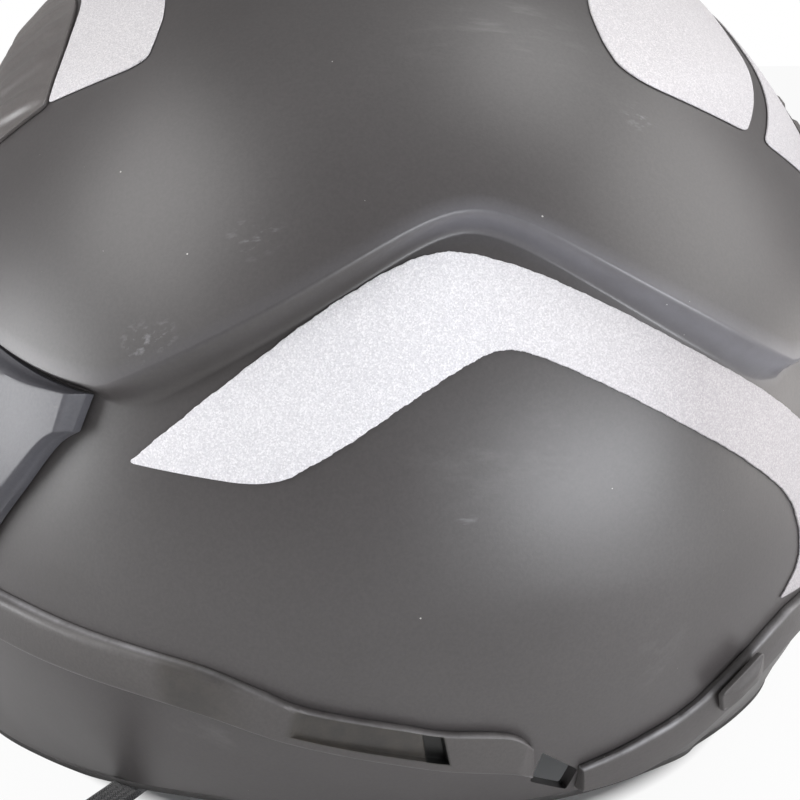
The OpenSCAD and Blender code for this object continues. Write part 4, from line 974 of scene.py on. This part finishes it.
def side_covers():
    """Both covers over the ears, and the round boss under each pivot's cap."""
    for name, tail, side in (("left", left_tail, 1), ("right", right_tail, -1)):
        low = [[mixed(tail, cover_chin, k[0]), k[1]] for k in cover_drop]
        ends = [mixed(tail, cover_nose, t) for t in (0, 0.03, 0.07, 0.12, 0.19, 0.27, 0.38, 0.52, 0.7, 0.86, 1)]
        up = [[a, float(step_z(side * a)) - cover_seam] for a in ends]
        us = np.concatenate([np.linspace(0, 0.12, 26), np.linspace(0.12, 1, 90)[1:]])
        o = applied("ear_cover_" + name, low, up, 0, 60, flat(cover_seat), cover_over, side, 1.5, us=list(us))
        rounded(o, 0.5, 42, 3)
        finished(o, cover_plastic, nodes="side_cover_" + name, slot="cover")
        high, out = boss_out - boss_in, shell_w / 2 + (boss_in + boss_out) / 2
        middle = Vector((side * out, -pivot_y, widest_z + pivot_level)) * MM
        bpy.ops.mesh.primitive_cylinder_add(vertices=96, radius=boss_d / 2 * MM, depth=high * MM,
                                            location=middle, rotation=(0, math.pi / 2, 0))
        boss = bpy.context.object
        bpy.ops.object.transform_apply(location=True, rotation=True, scale=True)
        boss.name = boss.data.name = "ear_cover_boss_" + name
        rounded(boss, 0.6, 42, 3)
        finished(boss, cover_plastic, slot="cover")


side_covers()

for name in ("left", "right"):
    finished(softened("pivot_cap_" + name, "pivot_pin_" + name, 0.5), hard_black, nodes="pivot_pin_" + name,
             slot="hardware")
finished(softened("cover_screw_heads", "cover_screws", 0.25), steel, nodes="cover_screws", slot="steel")


# Face shield
finished(softened("face_shield_lens", "face_shield", 0.5), visor, "shield", "face_shield", "visor")
finished(softened("shield_finger_lip", "shield_grip", 0.4), hard_black, "shield", "shield_grip", "hardware")


# Liner
def liner():
    """The foam cap, which leaves room for the raised shield in front and is thinner there."""
    gap_rear, gap_front, foam_rear, foam_front = 2.6, 14.0, 21.0, 15.0

    def liner_z(a):
        t = turn(a)
        return -6 + 14 * (1 - smooth((t - 20) / 20)) + (brow_level + 14) * smooth((t - 106) / 26)

    rows = np.linspace(0, 1, 50)
    path, deep = np.concatenate([rows[::-1], rows]), np.concatenate([np.zeros(50), np.ones(50)])

    def place(u, v, _):
        a = u * 360
        k = v * (len(path) - 1)
        t, n = np.interp(k, np.arange(len(path)), path), np.interp(k, np.arange(len(path)), deep)
        e = liner_z(a)
        z = e + (dome_h - e) * np.sin(t * math.pi / 2)
        front = smooth((30 - surf(a, z)[:, 1]) / 30)
        out = shell_wall + mixed(gap_rear, gap_front, front)
        return surf(a, z, -(out + n * mixed(foam_rear, foam_front, front)))

    o = ring_piece("impact_liner_foam", 200, len(path) - 1, place)
    rounded(o, 2.0, 50, 3)
    finished(o, foam, nodes="impact_liner", slot="foam")


liner()


# Pads
def crowned(u, v):
    return (1 - np.abs(2 * u - 1) ** 4) * (1 - np.abs(2 * v - 1) ** 4)


def pad(name, node, place, size, nu, nv):
    """A crowned pad with a sewn channel inside its border; place gives its back (w 0) and front (w 1)."""
    us = 0.5 - 0.5 * np.cos(np.linspace(0, math.pi, nu + 1))
    vs = 0.5 - 0.5 * np.cos(np.linspace(0, math.pi, nv + 1))
    o = laid(added_grid(name, nu, nv, True), place, size, list(us), list(vs))
    cleaned(o)
    rounded(o, 0.8, 42, 3)
    finished(o, pad_fabric, nodes=node, slot="pad")


def sewn(u, v, size, inset=3.2, half=0.55):
    """Share by which a seam inset millimetres inside the border draws the fabric in."""
    d = np.minimum(np.minimum(u, 1 - u) * size[0], np.minimum(v, 1 - v) * size[1])
    return np.exp(-((d - inset) / half) ** 2)


# Clearance of the pads, and the thickness at a pad's border
pad_gap, pad_edge, side_pad_t = 0.3, 2, 14.0


def side_pads():
    low = [[68, -48], [74, -52.5], [86, -54], [97, -52.5], [102, -48]]
    up = [[67, -20], [74, -16.5], [86, -16], [97, -17], [103, -21]]
    size, back = span(low, up, 1), 1.2
    for name, side in (("left", 1), ("right", -1)):
        def place(u, v, w, side=side):
            s, t = corner_round(u, v, size[0], size[1], 7)
            q = mixed(along(low, s), along(up, s), t[..., None])
            full = crowned(s, t) - 0.1 * sewn(u, v, size)
            off = -shell_wall - pad_gap - mixed(back, pad_edge + (side_pad_t - pad_edge) * full, w)
            return surf(side * q[..., 0], q[..., 1], off)

        pad("side_cushion_" + name, "side_pad_" + name, place, size, 72, 48)


side_pads()

# The harness is worked out level about its own centre and tilted in place
ring_r, ring_front, harness_y, harness_level, harness_tilt = 86.0, 100.0, 7.975, 8.0, 14.0
ring_t, ring_h, crown_h, web_t = 2.0, 26.0, 92.0, 1.6
tilt_cos, tilt_sin = math.cos(math.radians(harness_tilt)), math.sin(math.radians(harness_tilt))


def in_harness(p):
    y = p[..., 1] * tilt_cos + p[..., 2] * tilt_sin
    z = -p[..., 1] * tilt_sin + p[..., 2] * tilt_cos
    return points(p[..., 0], y + harness_y, z + widest_z + harness_level)


def on_ring(az, z, off):
    """A place off millimetres outside the ring's inner face."""
    r = np.where(cos(az) < 0, ring_front, ring_r)
    return in_harness(points((ring_r + off) * sin(az), (r + off) * cos(az), z))


def head_ring():
    """The band round the front and sides of the head, open at the rear, where the tails leave it."""
    start, sweep, size = 70, 220, (260.0, ring_h)

    def place(u, v, w):
        s, t = corner_round(u, v, size[0], size[1], 6)
        return on_ring(start + sweep * s, (t - 0.5) * ring_h, ring_t * (1 - w))

    o = cleaned(laid(added_grid("head_ring_band", 160, 16, True), place, size))
    rounded(o, 0.4, 42, 2)
    finished(o, harness_plastic, nodes="head_band", slot="harness")


head_ring()


def ring_pad(name, node, start, end, low, high, back, thick):
    mean_r = 92
    size = ((end - start) * math.pi / 180 * mean_r, high - low)

    def place(u, v, w):
        s, t = corner_round(u, v, size[0], size[1], 5)
        full = crowned(s, t) - 0.12 * sewn(u, v, size, 2.6, 0.45)
        rise = pad_edge + (thick - pad_edge) * full
        return on_ring(mixed(start, end, s), mixed(low, high, t), back - w * rise)

    pad(name, node, place, size, 110, 28)


# The ratchet's housing reaches inside the ring by housing_wall, and the nape cradle's shell lies inside that
tail_gap, housing_wall, cradle_t = 0.4, 1.9, 1.8
cradle_r = ring_r + ring_t + tail_gap - housing_wall - pad_gap - cradle_t
ring_pad("brow_cushion", "brow_pad", 128, 232, -12, 3.6, -pad_gap, 9)
ring_pad("nape_cushion", "nape_pad", -21, 21, -27, -10, cradle_r - pad_gap - ring_r, 7)

for name, node, body, wide in (("adjust_tail_left", "rack_tail_left", "left_tail", 0.2),
                               ("adjust_tail_right", "rack_tail_right", "right_tail", 0.2),
                               ("ratchet_body", "ratchet_housing", "helmet", 0.7),
                               ("ratchet_knob_grip", "ratchet_knob", "knob", 0.5),
                               ("nape_cradle_shell", "nape_cradle", "helmet", 0.5),
                               ("ring_clips", "harness_clips", "helmet", 0.6)):
    look = hard_black if node == "harness_clips" else harness_plastic
    finished(softened(name, node, wide), look, body, node, "harness")
finished(softened("ratchet_drive_pinion", "ratchet_pinion", 0.15), steel, "knob", "ratchet_pinion", "steel")
finished(softened("ring_rivet_heads", "harness_rivets", 0.35), steel, nodes="harness_rivets", slot="steel")
finished(softened("strap_anchor_plates", "strap_anchors", 0.4), steel, nodes="strap_anchors", slot="steel")


# Webbing
def strap_from(name, node, line, across, normal, width):
    """A flat strap of webbing along a line of points, with softly rounded selvedges."""
    n = len(line) - 1
    run = np.concatenate([[0], np.cumsum(np.linalg.norm(np.diff(line, axis=0), axis=1))])

    def place(u, v, w):
        k = u * n
        c, s, m = (np.stack([np.interp(k, np.arange(n + 1), q[:, i]) for i in range(3)], -1)
                   for q in (line, across, normal))
        thin = 1 - 0.45 * np.abs(2 * v - 1) ** 10
        return c + s * ((v - 0.5) * width)[:, None] + m * ((w - 0.5) * web_t * thin)[:, None]

    o = added_grid(name, n, 16, True)
    laid(o, place, (run[-1], width))
    cleaned(o)
    rounded(o, 0.2, 50, 2)
    finished(o, webbing, nodes=node, slot="webbing")


def arch_strap(name, node, front, rear, top, width, front_foot, rear_foot, across_head):
    """A strap arched over the head, between feet at these heights in front and behind, or at the two sides."""
    start, end = -math.degrees(math.acos(front_foot / top)), math.degrees(math.acos(rear_foot / top))
    t = np.linspace(start, end, 140)
    reach = np.where(t < 0, front, rear) - web_t / 2
    along_head, high = sin(t) * reach, cos(t) * (top - web_t / 2)
    if across_head:
        line, side = points(along_head, along_head * 0, high), points(0, tilt_cos, -tilt_sin)
    else:
        line, side = points(along_head * 0, along_head, high), points(1, 0, 0)
    line = in_harness(line)
    tangent = unit(np.gradient(line, axis=0))
    side = np.repeat(side[None], len(t), 0)
    strap_from(name, node, line, side, unit(np.cross(tangent, side)), width)


cross_top, crown_w = crown_h - web_t - pad_gap - 0.9, 20
long_reach, cross_reach = (ring_front - 1.1, cradle_r - 1.1), (ring_r - 1, ring_r - 1)
arch_strap("crown_web_long", "crown_strap_long", *long_reach, crown_h, crown_w, 4, -8, False)
arch_strap("crown_web_cross", "crown_strap_cross", *cross_reach, cross_top, crown_w, -8, -8, True)


def crown_cushion():
    """The pad under the crossing of the crown straps, which follows their arch."""
    half, size = 34.0, (68.0, 68.0)

    def place(u, v, w):
        s, t = corner_round(u, v, size[0], size[1], 20)
        x, y = half * (2 * s - 1), half * (1 - 2 * t)
        top = cross_top - web_t - pad_gap
        z = top * np.sqrt(1 - (x / (ring_r - 1)) ** 2 - (y / np.where(y > 0, cradle_r, ring_front)) ** 2)
        full = crowned(s, t) - 0.12 * sewn(u, v, size)
        return in_harness(points(x, y, z - w * (pad_edge + 6 * full)))

    pad("crown_cushion", "crown_pad", place, size, 64, 64)


crown_cushion()

# Chin strap: webbing, its height where it lies on the floor, and the inner face of its anchor plates
web_w, lay = 15.0, web_t / 2 + 0.1
anchor_gap, anchor_t = 1.4, 2.6
anchor_in = shell_wall + anchor_gap + anchor_t
front_anchor, rear_anchor, nape_anchor = (112.0, -36.0), (58.0, -36.0), (37.0, -22.0)
fork_out, fork_back, fork_side, fork_in, fork_y = 90.0, -20.0, 72.0, 62.0, -36.5
buckle_x, buckle_y, buckle_l = 23.5, -44.0, 32.0


def hang(q, z, inside):
    """A point of a strap's route at height z and this far inside the shell, with the strap's heading."""
    p = surf(np.array([q[0]]), np.array([z - widest_z]), np.array([-inside]))[0]
    return [p[0], p[1], z, -q[0]]


def strap_at(q, down):
    return hang(q, q[1] + widest_z - down, anchor_in + web_t / 2 + anchor_gap)


def floor_at(q, r, up=0.0):
    return [r * float(sin(q[0])), r * float(cos(q[0])), lay + up, -q[0]]


def route_strap(name, node, route, width=web_w, mirror=False):
    """A strap along a route of points, each three places and a heading; near the floor it stays above it."""
    k = np.array(route, float)
    n = (len(k) - 1) * 8
    p = along(k, np.linspace(0, 1, n + 1))
    p[:, 2] = np.where(p[:, 2] < 6, np.maximum(p[:, 2], lay), p[:, 2])
    line = p[:, :3].copy()
    tangent = unit(np.gradient(line, axis=0))
    head = points(cos(p[:, 3]), sin(p[:, 3]), 0 * p[:, 3])
    side = unit(head - tangent * (head * tangent).sum(1, keepdims=True))
    normal = unit(np.cross(tangent, head))
    if mirror:
        for q in (line, side, normal):
            q[:, 0] *= -1
    strap_from(name, node, line, side, normal, width)


def bend(x0, y0, x1, y1):
    """A soft S on the floor between two places of a crosswise strap."""
    return [[mixed(x0, x1, t), mixed(y0, y1, float(smooth(t))), lay, 90] for t in np.linspace(0, 1, 9)]


front_route = [strap_at(front_anchor, -4), strap_at(front_anchor, 8), hang(front_anchor, 12, 7),
               hang(front_anchor, 4.6, 9), hang(front_anchor, 2.1, 11.6), floor_at(front_anchor, 97, 0.1),
               floor_at(front_anchor, fork_out + 0.05)]
rear_at = hang(rear_anchor, 2.2, 11.4)
rear_foot = math.hypot(rear_at[0], rear_at[1])
rear_line = (math.degrees(math.atan2(rear_at[0], rear_at[1])), 0)
rear_route = [strap_at(rear_anchor, -4), strap_at(rear_anchor, 8), hang(rear_anchor, 13, 8.4),
              hang(rear_anchor, 5.4, 10), rear_at, floor_at(rear_line, rear_foot - 2, 0.5),
              floor_at(rear_line, rear_foot - 4), floor_at(rear_line, rear_foot - 6),
              [fork_side - 1.8, 39.5, lay, -36], [fork_side - 1.2, 34, lay, -16],
              [fork_side - 0.6, 27, lay, -4], [fork_side, 8, lay, 0], [fork_side, fork_back + 4, lay, 0],
              [fork_side, fork_back + 0.05, lay, 0]]
socket_in, socket_out = buckle_x - buckle_l / 2, buckle_x + buckle_l / 2
left_route = ([[socket_out + 0.05, buckle_y, lay, 90]] + bend(socket_out + 1.5, buckle_y, fork_in - 1.5, fork_y)
              + [[fork_in - 0.05, fork_y, lay, 90]])
right_route = ([[0.05 - fork_in, fork_y, lay, 90]] + bend(1.5 - fork_in, fork_y, -socket_out - 1.5, buckle_y)
               + [[-30, buckle_y, lay, 90], [-16, buckle_y, lay, 90], [socket_in - 10.05, buckle_y, lay, 90]])
for name, mirror in (("left", False), ("right", True)):
    route_strap("jaw_web_front_" + name, "chin_strap_front_" + name, front_route, mirror=mirror)
    route_strap("jaw_web_rear_" + name, "chin_strap_rear_" + name, rear_route, mirror=mirror)
route_strap("chin_web_left", "chin_strap_left", left_route)
route_strap("chin_web_right", "chin_strap_right", right_route)
# The narrow strap swings outward, in degrees, between its anchor and the floor
nape_swing, nape_w = 5.5, 9


def nape_line(share):
    return (nape_anchor[0] + nape_swing * share, nape_anchor[1])


nape_at = hang(nape_line(1), 3.6, 5.6)
nape_foot = math.hypot(nape_at[0], nape_at[1])
nape_route = [strap_at(nape_anchor, -4), strap_at(nape_anchor, 6), hang(nape_line(0.25), 26, 7.2),
              hang(nape_line(0.55), 17, 8), hang(nape_line(0.8), 9.5, 9), hang(nape_line(0.92), 6, 8), nape_at]
nape_route += [floor_at(nape_line(1), nape_foot + far, up - lay)
               for far, up in ((4, 3.3), (10, 2.6), (28, lay), (45, lay), (62, lay), (79.5, lay))]
route_strap("nape_web", "nape_strap", nape_route, nape_w)


def chin_cushion():
    middle_x, low, size = -18.5, lay + web_t / 2 + pad_gap, (26.0, 34.0)

    def place(u, v, w):
        s, t = corner_round(u, v, size[0], size[1], 7)
        full = crowned(s, t) - 0.1 * sewn(u, v, size, 2.6, 0.5)
        x, y = middle_x + size[0] * (s - 0.5), buckle_y - size[1] * (t - 0.5)
        return points(x, y, low + w * (pad_edge + 6 * full))

    pad("chin_cushion", "chin_pad", place, size, 40, 48)


chin_cushion()

for name, node, body, wide, look, slot in (
        ("strap_fork_plates", "strap_dividers", "helmet", 0.7, hard_black, "hardware"),
        ("strap_keeper", "strap_slider", "helmet", 0.5, hard_black, "hardware"),
        ("buckle_body", "buckle_socket", "helmet", 0.4, hard_black, "hardware"),
        ("buckle_plug", "buckle_tongue", "helmet", 0.6, hard_black, "hardware"),
        ("buckle_release", "buckle_button", "button", 0.6, red_plastic, "button")):
    finished(softened(name, node, wide), look, body, node, slot)


# Floor, backdrop and light
def pale_floor():
    """A pale floor, seen as white outside the ellipse that the helmet stands on and its shadow falls in."""
    bpy.ops.mesh.primitive_plane_add(size=12)
    floor = bpy.context.object
    floor.name = "studio_floor"
    m, t, shader, at = material("pale_floor")
    shader.inputs["Base Color"].default_value = (0.82, 0.82, 0.82, 1)
    shader.inputs["Roughness"].default_value = 0.9
    place = put(t, "ShaderNodeMapping", {"Vector": at, "Scale": (8.9, 7.7, 1), "Location": (0, 0.11, 0)})
    away = put(t, "ShaderNodeVectorMath", {0: place.outputs["Vector"]}, operation="LENGTH").outputs["Value"]
    clear = between(t, away, 0.86, 0.91, 0.0, 0.94)
    seen = maths(t, "MULTIPLY", put(t, "ShaderNodeLightPath").outputs["Is Camera Ray"], clear)
    glow = put(t, "ShaderNodeEmission", {"Color": (1, 1, 1, 1), "Strength": 1.0})
    both = put(t, "ShaderNodeMixShader", {0: seen, 1: shader.outputs[0], 2: glow.outputs[0]})
    t.links.new(both.outputs[0], next(n for n in t.nodes if n.type == "OUTPUT_MATERIAL").inputs["Surface"])
    floor.data.materials.append(m)


def soft_world():
    """Soft light from all round, which the camera and clear plastic see as white."""
    world = bpy.data.worlds.new("soft_studio")
    bpy.context.scene.world = world
    world.use_nodes = True
    w = world.node_tree
    w.nodes.clear()
    rays = put(w, "ShaderNodeLightPath").outputs
    seen = maths(w, "ADD", rays["Is Camera Ray"], rays["Is Transmission Ray"], clamp=True)
    soft = put(w, "ShaderNodeBackground", {"Color": (1, 1, 1, 1), "Strength": 0.27})
    white = put(w, "ShaderNodeBackground", {"Color": (1, 1, 1, 1), "Strength": 1.0})
    both = put(w, "ShaderNodeMixShader", {0: seen, 1: soft.outputs[0], 2: white.outputs[0]})
    w.links.new(both.outputs[0], put(w, "ShaderNodeOutputWorld").inputs["Surface"])


def lamps():
    """Area lamps round the helmet: name, azimuth, rise, distance, width, height, power and tint."""
    middle = np.array([0, 0.05, 0.1])
    for name, azimuth, rise, far, wide, high, power, tint in (
            ("window_left", 74, 40, 1.1, 0.7, 0.6, 5.8, (1, 0.985, 0.98)),
            ("window_right", -78, 32, 0.8, 0.6, 0.5, 3.1, (1, 0.985, 0.975)),
            ("low_right", -34, 0, 0.9, 0.6, 0.22, 5.6, (0.94, 0.96, 1)),
            ("side_right", -92, 0, 0.9, 0.5, 0.22, 1.5, (1, 0.96, 0.93)),
            ("low_left", 92, 4, 0.9, 0.5, 0.3, 4.1, (0.98, 0.985, 1)),
            ("high_right", -80, 66, 1.2, 0.6, 0.45, 3.2, (1, 0.99, 0.985)),
            ("ceiling", 0, 86, 1.6, 1.2, 1.2, 2.0, (1, 1, 1))):
        toward = np.array([float(sin(azimuth) * cos(rise)), float(cos(azimuth) * cos(rise)), float(sin(rise))])
        bpy.ops.object.light_add(type="AREA", location=tuple(middle + far * toward))
        lamp = bpy.context.object
        lamp.name = name
        lamp.data.shape, lamp.data.size, lamp.data.size_y = "RECTANGLE", wide, high
        lamp.data.energy, lamp.data.color = power, tint
        lamp.rotation_mode = "QUATERNION"
        lamp.rotation_quaternion = Vector(tuple(toward)).to_track_quat("Z", "Y")


pale_floor()
soft_world()
lamps()
bpy.context.scene.view_settings.view_transform = "Standard"
